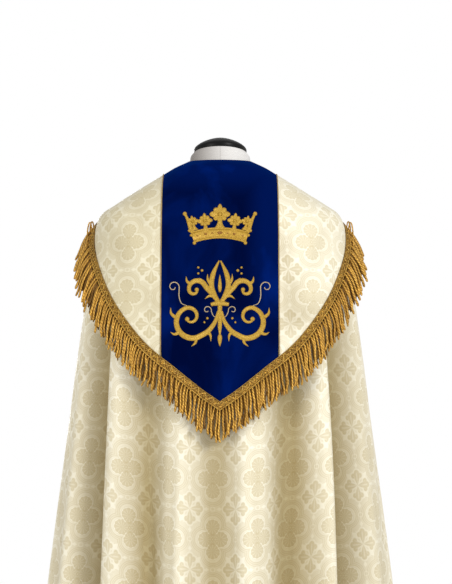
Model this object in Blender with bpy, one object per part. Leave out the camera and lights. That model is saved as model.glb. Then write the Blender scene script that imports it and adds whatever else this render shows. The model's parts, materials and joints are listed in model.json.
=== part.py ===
"""A cope, the long open cloak of church services, with a shield-shaped hood, on a limbless dress form.

Metres, +Z up. The origin is on the floor under the middle of the stand. The wearer would face +Y,
so the back of the cope, with its hood, faces -Y, and the wearer's left is on the -X side.
"""

import math
from collections import namedtuple

import bmesh
import bpy
from mathutils import Vector

# ---------------------------------------------------------------- driving dimensions, metres
CLOTH = 0.002  # damask with its lining
SEAM_GAP = 0.0003  # every two pieces stay this far apart
FRONT_OPENING = 0.028  # between the two front edges
HOOD_EASE = 0.0042  # the hood stands this far off the cloak under it
NECK_EASE = 0.0022  # the same at the neck seam
NECK_EASE_ROWS = 1.5  # rings over which the hood lifts from the neck seam to its full ease
PANEL_HALF_WIDTH = 0.112  # of the velvet down the middle of the hood
BAND_WIDTH = 0.0135  # woven heading of the fringe
BAND_THICKNESS = 0.003
STRAND_LENGTH = 0.064
STRANDS = 176
PIPING = (0.0026, 0.0012)  # width and height of the cord on the velvet's seams
PIPING_CLEAR = 0.0007  # between the cord and the panels under it
CLASP = (0.104, 0.050, 0.0035)  # width, height and thickness of the tab that closes the fronts
CLASP_TOP = 1.352
CLASP_CLEAR = 0.0015  # between the tab and the hood under it
POLE_RADIUS = 0.014
BASE_RADIUS = 0.190
BASE_THICKNESS = 0.010
COLLAR_RADIUS = 0.032
COLLAR_HEIGHT = 0.045
CAP_RIM = 0.0065  # straight side of the neck cap
CAP_DOME = 0.0215  # rise of its rounded top

# ---------------------------------------------------------------- the cloak, ring by ring
# Each ring runs round the wearer from one front edge over the back to the other front edge.
Ring = namedtuple("Ring", "half_width back front z_back z_side z_front turn squareness")
RINGS = [
    Ring(0.0620, 0.0640, 0.1080, 1.5115, 1.5120, 1.3700, 0.0, 2.00),  # neck
    Ring(0.0840, 0.0820, 0.1150, 1.5030, 1.5000, 1.3560, 0.0, 2.05),
    Ring(0.1070, 0.0960, 0.1210, 1.4905, 1.4860, 1.3400, 0.0, 2.10),
    Ring(0.1560, 0.1170, 0.1300, 1.4590, 1.4560, 1.3080, 0.0, 2.20),
    Ring(0.2050, 0.1350, 0.1380, 1.4200, 1.4240, 1.2760, 0.0, 2.30),
    Ring(0.2290, 0.1450, 0.1440, 1.3850, 1.4085, 1.2500, 0.0, 2.35),  # shoulder point
    Ring(0.2400, 0.1530, 0.1490, 1.3520, 1.3890, 1.2250, 0.0, 2.35),
    Ring(0.2455, 0.1590, 0.1530, 1.3180, 1.3600, 1.1950, 0.0, 2.35),
    Ring(0.2560, 0.1670, 0.1600, 1.2680, 1.3080, 1.1500, 0.0, 2.35),
    Ring(0.2700, 0.1780, 0.1690, 1.1900, 1.2250, 1.0800, 0.0, 2.35),
    Ring(0.2870, 0.1910, 0.1800, 1.0750, 1.1050, 0.9750, 0.8, 2.35),
    Ring(0.3085, 0.2080, 0.1950, 0.9250, 0.9450, 0.8350, 2.6, 2.30),
    Ring(0.3345, 0.2290, 0.2130, 0.7350, 0.7500, 0.6700, 5.8, 2.25),
    Ring(0.3650, 0.2540, 0.2370, 0.5100, 0.5200, 0.4700, 9.5, 2.20),
    Ring(0.3960, 0.2800, 0.2650, 0.2850, 0.2900, 0.2650, 12.8, 2.15),
    Ring(0.4260, 0.3050, 0.2900, 0.0600, 0.0600, 0.0600, 16.0, 2.10),  # hem
]
LAST_RING = len(RINGS) - 1
HEM_HEIGHT = RINGS[-1].z_side

# Folds are troughs in the rings. An angle is counted from the middle of the back, + towards +X.
Fold = namedtuple("Fold", "angle left right depth start")
FOLDS = [
    Fold(-167.0, 8.0, 8.0, 0.040, 1.24),
    Fold(-149.0, 10.0, 9.0, 0.072, 1.26),
    Fold(-128.0, 11.0, 11.0, 0.058, 1.26),
    Fold(-105.0, 12.0, 15.0, 0.078, 1.30),
    Fold(-65.5, 12.0, 9.5, 0.122, 1.36),
    Fold(-41.5, 12.0, 21.0, 0.067, 1.30),
    Fold(-0.5, 24.5, 17.0, 0.044, 1.30),
    Fold(43.0, 25.5, 10.0, 0.099, 1.30),
    Fold(63.0, 8.5, 16.5, 0.122, 1.36),
    Fold(108.0, 16.0, 12.0, 0.072, 1.30),
    Fold(131.0, 11.0, 11.0, 0.062, 1.26),
    Fold(152.0, 9.0, 10.0, 0.076, 1.26),
    Fold(169.0, 7.0, 7.0, 0.036, 1.24),
]
FOLD_GROWTH = 0.6  # power of the fall from a fold's start at which its depth grows

# The gores are sewn to each other at the bottom of these folds.
Gore = namedtuple("Gore", "name start end columns")
GORES = [
    Gore("cope_front_left", -180.0, -128.0, 14),
    Gore("cope_side_left", -128.0, -65.5, 18),
    Gore("cope_back", -65.5, 63.0, 36),
    Gore("cope_side_right", 63.0, 131.0, 18),
    Gore("cope_front_right", 131.0, 180.0, 14),
]

# Height of the hood's lower edge at each angle from the middle of the back, the same on both sides.
Edge = namedtuple("Edge", "angle height")
HOOD_EDGE = [
    Edge(0.0, 1.051),
    Edge(10.0, 1.074),
    Edge(24.0, 1.112),
    Edge(40.0, 1.160),
    Edge(55.0, 1.229),
    Edge(70.0, 1.311),
    Edge(80.0, 1.357),
    Edge(90.0, 1.394),
    Edge(110.0, 1.378),
    Edge(135.0, 1.306),
    Edge(160.0, 1.266),
    Edge(180.0, 1.256),
]

# ---------------------------------------------------------------- the dress form, ring by ring
NeckRing = namedtuple("NeckRing", "height half_width depth centre tilt")
FORM_NECK = [
    NeckRing(1.5330, 0.0530, 0.0540, 0.0120, 11.5),
    NeckRing(1.5265, 0.0588, 0.0560, 0.0090, 9.0),
    NeckRing(1.5180, 0.0603, 0.0575, 0.0040, 5.0),
]
# The shoulders follow the inside of the cloak, ring by ring; the breast stays this far behind it.
ShoulderRing = namedtuple("ShoulderRing", "ring breast_ease")
FORM_SHOULDERS = [
    ShoulderRing(0.0, 0.000),
    ShoulderRing(1.0, 0.001),
    ShoulderRing(2.0, 0.004),
    ShoulderRing(3.0, 0.010),
    ShoulderRing(4.0, 0.018),
    ShoulderRing(5.0, 0.026),
    ShoulderRing(6.0, 0.034),
]
FORM_EASE = 0.0010  # between the form's shoulders and the cloak's inside
TrunkRing = namedtuple("TrunkRing", "z_side drop_back drop_front half_width back front")
FORM_TRUNK = [
    TrunkRing(1.3520, 0.0350, 0.1650, 0.2180, 0.1420, 0.1150),
    TrunkRing(1.3000, 0.0250, 0.1350, 0.1950, 0.1350, 0.1130),
    TrunkRing(1.2300, 0.0150, 0.0900, 0.1750, 0.1230, 0.1090),
    TrunkRing(1.1500, 0.0050, 0.0450, 0.1570, 0.1080, 0.1020),
    TrunkRing(1.0700, 0.0000, 0.0150, 0.1430, 0.0930, 0.0940),
    TrunkRing(1.0000, 0.0000, 0.0000, 0.1420, 0.0900, 0.0910),
    TrunkRing(0.9200, 0.0000, 0.0000, 0.1590, 0.1040, 0.0970),
    TrunkRing(0.8400, 0.0000, 0.0000, 0.1710, 0.1170, 0.1000),
    TrunkRing(0.7800, 0.0000, 0.0000, 0.1680, 0.1150, 0.0960),
    TrunkRing(0.7600, 0.0000, 0.0000, 0.1580, 0.1060, 0.0880),
]
FORM_SIDES = 28

COLOURS = {  # base colour, roughness, metallic
    "damask": ((0.80, 0.73, 0.55), 0.55, 0.0),
    "velvet": ((0.003, 0.014, 0.110), 0.85, 0.0),
    "bullion": ((0.50, 0.30, 0.075), 0.40, 0.6),
    "form_cover": ((0.82, 0.80, 0.78), 0.80, 0.0),
    "form_cap": ((0.012, 0.012, 0.013), 0.30, 0.0),
    "steel": ((0.55, 0.55, 0.56), 0.30, 1.0),
    "base_paint": ((0.03, 0.03, 0.03), 0.45, 0.0),
}


def smooth(t):
    """0 up to 1 with no corner at either end."""
    t = min(max(t, 0.0), 1.0)
    return t * t * (3.0 - 2.0 * t)


def through(values, place):
    """A smooth curve through the values, read at a place counted in steps between them."""
    last = len(values) - 1
    i = min(max(int(place), 0), last - 1)
    t = place - i
    a, b, c, d = (values[min(max(k, 0), last)] for k in (i - 1, i, i + 1, i + 2))
    return b + 0.5 * t * (c - a + t * (2 * a - 5 * b + 4 * c - d + t * (3 * (b - c) + d - a)))


def ring_at(v):
    return Ring(*(through(column, v) for column in zip(*RINGS)))


def plan_radius(along, depth, half_width, squareness):
    """Distance from the axis to a rounded outline, in the direction whose cosine and sine are given."""
    cosine, sine = along
    reach = (abs(cosine) / depth) ** squareness + (abs(sine) / half_width) ** squareness
    return reach ** (-1 / squareness)


def fold_depth(angle, height):
    """How far the cloth goes in at this angle and height."""
    total = 0.0
    for fold in FOLDS:
        if height >= fold.start:
            continue
        away = angle - fold.angle
        share = abs(away) / (fold.left if away < 0 else fold.right)
        if share < 1.0:
            grown = ((fold.start - height) / (fold.start - HEM_HEIGHT)) ** FOLD_GROWTH
            total += fold.depth * grown * math.cos(share * math.pi / 2) ** 2
    return total


def drape(angle, v, folded=True):
    """A point of the cloak's outside, v rings down from the neck, or of its hull without the folds."""
    ring = ring_at(v)
    turned = math.radians(angle) - math.radians(ring.turn) * math.sin(math.radians(angle))
    cosine, sine = math.cos(turned), math.sin(turned)
    at_back = cosine > 0
    depth = ring.back if at_back else ring.front
    z_middle = ring.z_back if at_back else ring.z_front
    height = ring.z_side + (z_middle - ring.z_side) * cosine * cosine
    radius = plan_radius((cosine, sine), depth, ring.half_width, ring.squareness)
    if folded:
        radius -= fold_depth(angle, height)
    return Vector((radius * sine, -radius * cosine, height))


def outward(angle, v, folded=True):
    """The outside's normal, by finite differences."""
    step = 0.05
    low, high = max(v - step, 0.0), min(v + step, LAST_RING)
    across = drape(angle + 0.3, v, folded) - drape(angle - 0.3, v, folded)
    down = drape(angle, high, folded) - drape(angle, low, folded)
    return down.cross(across).normalized()


def front_edge(v):
    """The angle at which a ring ends at the front opening."""
    ring = ring_at(v)
    turned = math.pi - math.asin(FRONT_OPENING / 2 / ring.front)
    return math.degrees(turned) + ring.turn * math.sin(turned)


def hood_point(angle, v, lift=0.0):
    """A point of the hood's outside, or of what lies lift above it."""
    ease = NECK_EASE + (HOOD_EASE - NECK_EASE) * smooth(v / NECK_EASE_ROWS)
    return drape(angle, v, folded=False) + outward(angle, v, folded=False) * (ease + CLOTH + lift)


def solve(function, low, high):
    """The place between low and high where a falling function crosses 0."""
    for _ in range(34):
        middle = (low + high) / 2
        if function(middle) > 0:
            low = middle
        else:
            high = middle
    return (low + high) / 2


def read_table(rows, key):
    """Smooth reading of a two-column table whose first column is an angle."""
    keys = [row[0] for row in rows]
    place = 0
    while place < len(keys) - 2 and key > keys[place + 1]:
        place += 1
    t = (key - keys[place]) / (keys[place + 1] - keys[place])

    def slope(k):
        low, high = max(k - 1, 0), min(k + 1, len(rows) - 1)
        return (rows[high][1] - rows[low][1]) / (keys[high] - keys[low])

    width = keys[place + 1] - keys[place]
    a, b = rows[place][1], rows[place + 1][1]
    m, n = slope(place) * width, slope(place + 1) * width
    blend = smooth(t)
    return a + (b - a) * blend + (t**3 - 2 * t**2 + t) * m + (t**3 - t**2) * n


def hood_end(angle):
    """How many rings down the hood's lower edge is at this angle."""
    wanted = read_table(HOOD_EDGE, abs(angle))
    return solve(lambda v: hood_point(angle, v).z - wanted, 0.5, 11.5)


def velvet_end(angle, half_width):
    """How many rings down the velvet's side seam is at this angle, at that distance from the middle."""
    return solve(lambda v: half_width - abs(hood_point(angle, v).x), 0.0, 11.5)


# ---------------------------------------------------------------- meshes
def material(name):
    found = bpy.data.materials.get(name)
    if found:
        return found
    made = bpy.data.materials.new(name)
    made.use_nodes = True
    colour, roughness, metallic = COLOURS[name]
    shader = made.node_tree.nodes["Principled BSDF"]
    shader.inputs["Base Color"].default_value = (*colour, 1.0)
    shader.inputs["Roughness"].default_value = roughness
    shader.inputs["Metallic"].default_value = metallic
    made.diffuse_color = (*colour, 1.0)
    return made


def new_object(name, bm, material_name):
    bmesh.ops.recalc_face_normals(bm, faces=bm.faces)
    mesh = bpy.data.meshes.new(name)
    bm.to_mesh(mesh)
    bm.free()
    mesh.shade_smooth()
    mesh.set_sharp_from_angle(angle=math.radians(40))
    mesh.materials.append(material(material_name))
    made = bpy.data.objects.new(name, mesh)
    bpy.context.scene.collection.objects.link(made)
    return made


def wall(name, outside, normals, thickness, material_name):
    """A closed sheet of cloth behind a grid of points on its outside.

    The grid's rows go down and its columns go towards + angles.
    """
    rows, columns = len(outside), len(outside[0])
    bm = bmesh.new()
    outer = [[bm.verts.new(p) for p in line] for line in outside]
    inner = [
        [bm.verts.new(p - n * thickness) for p, n in zip(line, normal_line)]
        for line, normal_line in zip(outside, normals)
    ]
    for r in range(rows - 1):
        for c in range(columns - 1):
            bm.faces.new((outer[r][c], outer[r + 1][c], outer[r + 1][c + 1], outer[r][c + 1]))
            bm.faces.new((inner[r][c], inner[r][c + 1], inner[r + 1][c + 1], inner[r + 1][c]))
    for c in range(columns - 1):
        bm.faces.new((outer[0][c], outer[0][c + 1], inner[0][c + 1], inner[0][c]))
        bm.faces.new((outer[-1][c], inner[-1][c], inner[-1][c + 1], outer[-1][c + 1]))
    for r in range(rows - 1):
        bm.faces.new((outer[r][0], inner[r][0], inner[r + 1][0], outer[r + 1][0]))
        bm.faces.new((outer[r][-1], outer[r + 1][-1], inner[r + 1][-1], inner[r][-1]))
    return new_object(name, bm, material_name)


def lathe(name, rings, material_name):
    """A closed solid through rings of points, all with the same number of points, with flat ends."""
    bm = bmesh.new()
    made = [[bm.verts.new(p) for p in ring] for ring in rings]
    count = len(rings[0])
    for above, below in zip(made, made[1:]):
        for i in range(count):
            j = (i + 1) % count
            bm.faces.new((above[i], below[i], below[j], above[j]))
    bm.faces.new(made[0])
    bm.faces.new(made[-1])
    return new_object(name, bm, material_name)


# ---------------------------------------------------------------- the cloak
REFERENCE_RING = 13.0  # the folds are deep here, so the columns are spaced by the cloth's length here


def gore_angles(gore):
    """Angles of a gore's columns, an equal length of cloth apart."""
    fine = 400
    end = front_edge(REFERENCE_RING)
    low, high = max(gore.start, -end), min(gore.end, end)
    angles = [low + (high - low) * i / fine for i in range(fine + 1)]
    points = [drape(angle, REFERENCE_RING) for angle in angles]
    lengths = [0.0]
    for a, b in zip(points, points[1:]):
        lengths.append(lengths[-1] + (b - a).length)
    return shares_of(angles, lengths, gore.columns)


def part_at_seams(grid):
    """Moves a grid's first and last columns in by half a seam's gap, along the cloth."""
    for line in grid:
        for edge, beside in ((0, 1), (-1, -2)):
            along = (line[beside] - line[edge]).normalized()
            line[edge] = line[edge] + along * (SEAM_GAP / 2)


def make_gore(gore):
    angles = gore_angles(gore)
    grid, normals = [], []
    for v in range(LAST_RING + 1):
        edge = front_edge(v)
        row = [min(max(angle, -edge), edge) for angle in angles]
        grid.append([drape(angle, v) for angle in row])
        normals.append([outward(angle, v) for angle in row])
    part_at_seams(grid)
    return wall(gore.name, grid, normals, CLOTH, "damask")


# ---------------------------------------------------------------- the hood
HOOD_ROWS = 9
SIDE_PANEL_ROWS = 7
CORNER_RINGS = 0.04  # the side panels' sharp corners end where they are this many rings high


def panel_corner(low, high, wanted):
    """The angle at which the velvet's side seam is this many rings above the hood's edge."""

    def short(angle):
        return wanted - hood_end(angle) + velvet_end(angle, PANEL_HALF_WIDTH)

    falling = short(low) > short(high)
    return solve(short if falling else lambda angle: -short(angle), low, high)


def even_angles(low, high, steps):
    """Angles that are an even length apart along the hood's edge and the velvet's seam together."""
    fine = 40
    angles = [low + (high - low) * i / fine for i in range(fine + 1)]
    seam = [hood_point(a, velvet_end(a, PANEL_HALF_WIDTH)) for a in angles]
    edge = [hood_point(a, hood_end(a)) for a in angles]
    lengths = [0.0]
    for i in range(fine):
        lengths.append(lengths[-1] + (seam[i + 1] - seam[i]).length + (edge[i + 1] - edge[i]).length)
    return shares_of(angles, lengths, steps)


def shares_of(angles, lengths, steps):
    """The angles at equal shares of the length, steps + 1 of them."""
    found = []
    k = 0
    for step in range(steps + 1):
        wanted = lengths[-1] * step / steps
        while k < len(angles) - 2 and lengths[k + 1] < wanted:
            k += 1
        share = (wanted - lengths[k]) / (lengths[k + 1] - lengths[k])
        found.append(angles[k] + share * (angles[k + 1] - angles[k]))
    return found


def hood_angles():
    """Angles of the hood's columns on the +X side, and the two between which its side panel is."""
    back_corner = panel_corner(10.0, 70.0, 0.0)
    front_corner = panel_corner(100.0, 172.0, 0.0)
    back_start = panel_corner(back_corner, 70.0, CORNER_RINGS)
    front_start = panel_corner(100.0, front_corner, CORNER_RINGS)
    last = front_edge(2.0)
    angles = [back_corner * i / 5 for i in range(6)]
    angles += even_angles(back_start, 90.0, 11)[:-1]
    angles += even_angles(90.0, front_start, 6)
    angles += [front_corner + (last - front_corner) * i / 3 for i in range(4)]
    return angles, back_start, front_start


def edge_clamped(angle, v):
    edge = front_edge(v)
    return min(max(angle, -edge), edge)


def hood_grid(angles, top, bottom, rows):
    """Points and normals of a hood piece, with rows from the ring top(angle) to the ring bottom(angle)."""
    grid, normals = [], []
    for r in range(rows + 1):
        places = []
        for angle in angles:
            v = top(angle) + (bottom(angle) - top(angle)) * r / rows
            places.append((edge_clamped(angle, v), v))
        grid.append([hood_point(*place) for place in places])
        normals.append([outward(*place, folded=False) for place in places])
    return grid, normals


def make_hood():
    half, back_start, front_start = hood_angles()
    both = [-a for a in reversed(half[1:])] + half
    ends = {a: hood_end(a) for a in both}
    inner = PANEL_HALF_WIDTH - SEAM_GAP / 2
    outer = PANEL_HALF_WIDTH + SEAM_GAP / 2

    def velvet_bottom(angle):
        return min(velvet_end(angle, inner), ends[angle])

    velvet = hood_grid(both, lambda angle: 0.0, velvet_bottom, HOOD_ROWS)
    wall("hood_panel_velvet", *velvet, CLOTH, "velvet")

    for side, name in ((-1, "hood_panel_left"), (1, "hood_panel_right")):
        angles = [side * a for a in half if back_start <= a <= front_start]
        if side < 0:
            angles.reverse()
        grid = hood_grid(angles, lambda a: velvet_end(a, outer), lambda a: ends[a], SIDE_PANEL_ROWS)
        wall(name, *grid, CLOTH, "damask")
    make_fringe(both, ends)
    return half, back_start, front_start


# ---------------------------------------------------------------- the fringe
def make_fringe(angles, ends):
    """Bullion fringe: a woven band along the hood's edge, and strands that hang from its lower side."""
    edge = [hood_point(edge_clamped(a, ends[a]), ends[a]) for a in angles]
    normals = [outward(a, ends[a], folded=False) for a in angles]
    last = len(edge) - 1
    away = []
    for i, normal in enumerate(normals):
        before = (edge[i] - edge[max(i - 1, 0)]).normalized()
        after = (edge[min(i + 1, last)] - edge[i]).normalized()
        if i == 0:
            before = after
        if i == last:
            after = before
        along = (before + after).normalized()
        mitre = 1.0 / max(along.dot(after), 0.5)
        away.append(normal.cross(along).normalized() * -mitre)

    lengths = [0.0]
    for a, b in zip(edge, edge[1:]):
        lengths.append(lengths[-1] + (b - a).length)
    spans = last
    # The strands are shared out over the band's straight spans by their lengths.
    counts = [max(1, round(STRANDS * (lengths[i + 1] - lengths[i]) / lengths[-1])) for i in range(spans)]

    def between(values, i, t):
        return values[i].lerp(values[i + 1], t)

    stations = []
    for i, count in enumerate(counts):
        stations += [(i, k / count) for k in range(count)]
    stations.append((spans - 1, 1.0))

    proud = BAND_THICKNESS - CLOTH
    top_out, top_in, low_out, low_in = [], [], [], []
    for i, t in stations:
        point, normal, out = between(edge, i, t), between(normals, i, t), between(away, i, t)
        for store, reach, height in (
            (top_out, SEAM_GAP, proud),
            (top_in, SEAM_GAP, proud - BAND_THICKNESS),
            (low_out, BAND_WIDTH, proud),
            (low_in, BAND_WIDTH, proud - BAND_THICKNESS),
        ):
            flare = BAND_FLARE * shoulder_share(normal.x) * (reach > SEAM_GAP)
            store.append(point + out * reach + normal * (height + flare))

    bm = bmesh.new()
    lines = [[bm.verts.new(p) for p in line] for line in (top_out, low_out, low_in, top_in)]
    for a, b in zip(lines, lines[1:] + lines[:1]):
        if a is lines[1]:
            continue  # the lower side, where the strands start
        for i in range(len(stations) - 1):
            bm.faces.new((a[i], b[i], b[i + 1], a[i + 1]))
    bm.faces.new([line[0] for line in lines])
    bm.faces.new([line[-1] for line in reversed(lines)])
    for i in range(len(stations) - 1):
        root = (lines[1][i], lines[2][i], lines[2][i + 1], lines[1][i + 1])
        add_strand(bm, root, i)
    return new_object("hood_fringe", bm, "bullion")


# Along a strand: its fall, how far it stands out, how much further over the shoulders, its half-thickness.
Station = namedtuple("Station", "fall out flare half_thickness")
STRAND_STATIONS = [
    Station(0.22, 0.0026, 0.0050, 0.0025),
    Station(1.00, 0.0030, 0.0150, 0.0023),
]
CLOAK_SLOPE = 0.16  # the cloak under the fringe goes out this much for each metre down
BAND_FLARE = 0.011  # the band's lower side stands this far off over the shoulders


def shoulder_share(sideways):
    """1 where the fringe hangs from the shoulders, 0 where it lies on the back or the breast."""
    return smooth((abs(sideways) - 0.66) / 0.32)


def add_strand(bm, root, number):
    """Pulls one four-sided strand down out of a quad of the band's lower side."""
    middle = sum((v.co for v in root), Vector()) / 4
    flat = Vector((middle.x / 1.5, middle.y, 0.0)).normalized()
    beside = Vector((-flat.y, flat.x, 0.0))
    if (root[3].co - root[0].co).dot(beside) < 0:
        beside = -beside
    flare = shoulder_share(flat.x)
    length = STRAND_LENGTH * (1.0 + 0.045 * math.sin(number * 2.4) + 0.03 * math.sin(number * 5.1))
    above = list(root)
    for station in STRAND_STATIONS:
        out = length * station.fall * CLOAK_SLOPE + station.out + station.flare * flare
        centre = middle + flat * out - Vector((0.0, 0.0, length * station.fall))
        half = station.half_thickness
        corners = [
            centre - beside * half + flat * half,
            centre - beside * half - flat * half,
            centre + beside * half - flat * half,
            centre + beside * half + flat * half,
        ]
        below = [bm.verts.new(p) for p in corners]
        for i in range(4):
            j = (i + 1) % 4
            bm.faces.new((above[i], below[i], below[j], above[j]))
        above = below
    bm.faces.new(above)


# ---------------------------------------------------------------- trim on the hood
def make_piping(half_angles, back_start, front_start):
    """A fine cord over each side seam of the velvet, from the back over the shoulder to the front."""
    width, height = PIPING
    angles = [a for a in half_angles if back_start <= a <= front_start]
    for side, name in ((-1, "piping_left"), (1, "piping_right")):
        middle, normals = [], []
        for a in angles:
            v = velvet_end(a, PANEL_HALF_WIDTH)
            middle.append(hood_point(side * a, v, PIPING_CLEAR + height))
            normals.append(outward(side * a, v, folded=False))
        grid = []
        for i, (point, normal) in enumerate(zip(middle, normals)):
            along = middle[min(i + 1, len(middle) - 1)] - middle[max(i - 1, 0)]
            beside = normal.cross(along).normalized() * (width / 2)
            grid.append([point + beside, point, point - beside])
        wall(name, grid, [[normal] * 3 for normal in normals], height, "bullion")


def make_clasp():
    """The tab that holds the two fronts together over the breast."""
    width, height, thickness = CLASP
    columns, rows = 10, 3
    lift = CLASP_CLEAR + thickness
    grid, normals = [], []
    for r in range(rows + 1):
        v = solve(lambda v: hood_point(180.0, v).z - CLASP_TOP + height * r / rows, 0.0, 6.0)
        spread = solve(lambda a: width / 2 - hood_point(180.0 - a, v).x, 0.0, 60.0)
        angles = [180.0 + spread * (2 * c / columns - 1) for c in range(columns + 1)]
        grid.append([hood_point(angle, v, lift) for angle in angles])
        normals.append([outward(angle, v, folded=False) for angle in angles])
    return wall("clasp_tab", grid, normals, thickness, "velvet")


# ---------------------------------------------------------------- the dress form
def around():
    return [360.0 * i / FORM_SIDES for i in range(FORM_SIDES)]


def neck_points(ring):
    slope = math.tan(math.radians(ring.tilt))
    points = []
    for angle in around():
        along = (math.cos(math.radians(angle)), math.sin(math.radians(angle)))
        radius = plan_radius(along, ring.depth, ring.half_width, 2.0)
        y = -radius * along[0]
        points.append(Vector((radius * along[1], ring.centre + y, ring.height - y * slope)))
    return points


def shoulder_points(v, breast):
    points = []
    for angle in around():
        frontness = smooth(-math.cos(math.radians(angle)) * 1.5)
        inset = CLOTH + FORM_EASE + breast * frontness
        points.append(drape(angle, v, folded=False) - outward(angle, v, folded=False) * inset)
    return points


def trunk_points(ring):
    points = []
    for angle in around():
        along = (math.cos(math.radians(angle)), math.sin(math.radians(angle)))
        depth, drop = (ring.back, ring.drop_back) if along[0] > 0 else (ring.front, ring.drop_front)
        radius = plan_radius(along, depth, ring.half_width, 2.1)
        points.append(Vector((radius * along[1], -radius * along[0], ring.z_side - drop * along[0] ** 2)))
    return points


def make_form():
    rings = [neck_points(ring) for ring in FORM_NECK]
    rings += [shoulder_points(v, breast) for v, breast in FORM_SHOULDERS]
    rings += [trunk_points(ring) for ring in FORM_TRUNK]
    lathe("form_body", rings, "form_cover")

    top = FORM_NECK[0]
    profile = [(0.0, 1.0), (CAP_RIM, 1.0)]
    for degrees in (18, 36, 54, 70, 82):
        angle = math.radians(degrees)
        profile.append((CAP_RIM + CAP_DOME * math.sin(angle), math.cos(angle)))
    rings = []
    for rise, share in profile:
        height = top.height + SEAM_GAP + rise
        width, depth = top.half_width * share, top.depth * share
        rings.append(neck_points(top._replace(height=height, half_width=width, depth=depth)))
    lathe("form_neck_cap", rings, "form_cap")

    bottom = FORM_TRUNK[-1].z_side
    pole = [(BASE_THICKNESS + SEAM_GAP, POLE_RADIUS), (bottom - SEAM_GAP, POLE_RADIUS)]
    turned("form_pole", pole, "steel")
    make_base()


def circle(radius, height, sides):
    angles = [2 * math.pi * i / sides for i in range(sides)]
    return [Vector((radius * math.cos(a), radius * math.sin(a), height)) for a in angles]


def turned(name, profile, material_name, sides=20):
    """A solid turned about the stand's axis from (height, radius) pairs, low to high."""
    return lathe(name, [circle(radius, height, sides) for height, radius in profile], material_name)


def make_base():
    """A round plate, with a loose collar on it round the pole."""
    bevel = 0.003
    turned(
        "form_base",
        [(0.0, BASE_RADIUS), (BASE_THICKNESS - bevel, BASE_RADIUS), (BASE_THICKNESS, BASE_RADIUS - bevel)],
        "base_paint",
        sides=40,
    )
    low = BASE_THICKNESS + SEAM_GAP
    bore = POLE_RADIUS + SEAM_GAP
    profile = [(low, bore), (low, COLLAR_RADIUS), (low + COLLAR_HEIGHT * 0.4, COLLAR_RADIUS * 0.8)]
    profile += [(low + COLLAR_HEIGHT, COLLAR_RADIUS * 0.62), (low + COLLAR_HEIGHT, bore)]
    bm = bmesh.new()
    loops = [[bm.verts.new(p) for p in circle(radius, height, 20)] for height, radius in profile]
    for here, there in zip(loops, loops[1:] + loops[:1]):
        for i in range(len(here)):
            j = (i + 1) % len(here)
            bm.faces.new((here[i], here[j], there[j], there[i]))
    new_object("form_collar", bm, "base_paint")


def main():
    for obj in list(bpy.data.objects):
        bpy.data.objects.remove(obj)
    for gore in GORES:
        make_gore(gore)
    half_angles, back_start, front_start = make_hood()
    make_piping(half_angles, back_start, front_start)
    make_clasp()
    make_form()


main()
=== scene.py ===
# %% [markdown]
# # A cope on a dress form
# A cope is the long open cloak of church services. This one has a shield-shaped hood over its back,
# with a panel of blue velvet, gold embroidery and a heavy bullion fringe, and it hangs on a
# limbless dress form. The packed CAD model is loaded first and is the fixed frame: every sheet of
# cloth below is laid over the CAD solid that it stands for, from the same named values, only finer.

# %% Load the frame
import json
import math
from collections import namedtuple
from functools import partialmethod

import bpy
import numpy as np
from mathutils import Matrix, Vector
from mathutils.bvhtree import BVHTree

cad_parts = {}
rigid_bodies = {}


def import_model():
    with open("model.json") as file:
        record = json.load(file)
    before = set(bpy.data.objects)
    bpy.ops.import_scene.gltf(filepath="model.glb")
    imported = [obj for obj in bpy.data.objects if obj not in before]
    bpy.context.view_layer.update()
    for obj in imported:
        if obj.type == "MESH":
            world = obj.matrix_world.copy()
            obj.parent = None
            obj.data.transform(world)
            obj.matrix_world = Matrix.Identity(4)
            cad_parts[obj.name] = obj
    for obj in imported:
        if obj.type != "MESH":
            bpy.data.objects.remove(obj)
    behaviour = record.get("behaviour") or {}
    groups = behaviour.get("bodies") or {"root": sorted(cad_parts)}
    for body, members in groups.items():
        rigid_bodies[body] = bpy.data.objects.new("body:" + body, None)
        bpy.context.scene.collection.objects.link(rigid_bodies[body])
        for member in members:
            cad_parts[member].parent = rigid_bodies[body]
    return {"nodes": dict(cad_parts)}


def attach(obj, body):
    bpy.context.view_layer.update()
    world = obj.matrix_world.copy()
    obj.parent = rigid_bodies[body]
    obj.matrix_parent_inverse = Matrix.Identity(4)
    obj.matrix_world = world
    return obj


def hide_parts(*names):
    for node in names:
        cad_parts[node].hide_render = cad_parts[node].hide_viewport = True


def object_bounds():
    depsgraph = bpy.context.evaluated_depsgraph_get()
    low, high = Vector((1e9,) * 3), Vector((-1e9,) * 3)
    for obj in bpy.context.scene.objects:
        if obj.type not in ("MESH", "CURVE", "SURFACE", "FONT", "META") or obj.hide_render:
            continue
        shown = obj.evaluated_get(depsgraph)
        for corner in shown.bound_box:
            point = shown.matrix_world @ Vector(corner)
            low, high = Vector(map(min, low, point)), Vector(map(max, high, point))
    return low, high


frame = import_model()
cad_box = [list(corner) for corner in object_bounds()]
print("CAD nodes:", ", ".join(sorted(frame["nodes"])))
print("CAD box:", [[round(x, 4) for x in corner] for corner in cad_box])

# %% [markdown]
# ## The studio
# A vestment is shown square on to its back, from breast height and some way off, so that the
# hood's straight edges stay straight. The sensor's longer side goes with the picture's longer side,
# and the lens is worked out from the height that has to fit at the camera's distance.

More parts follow.
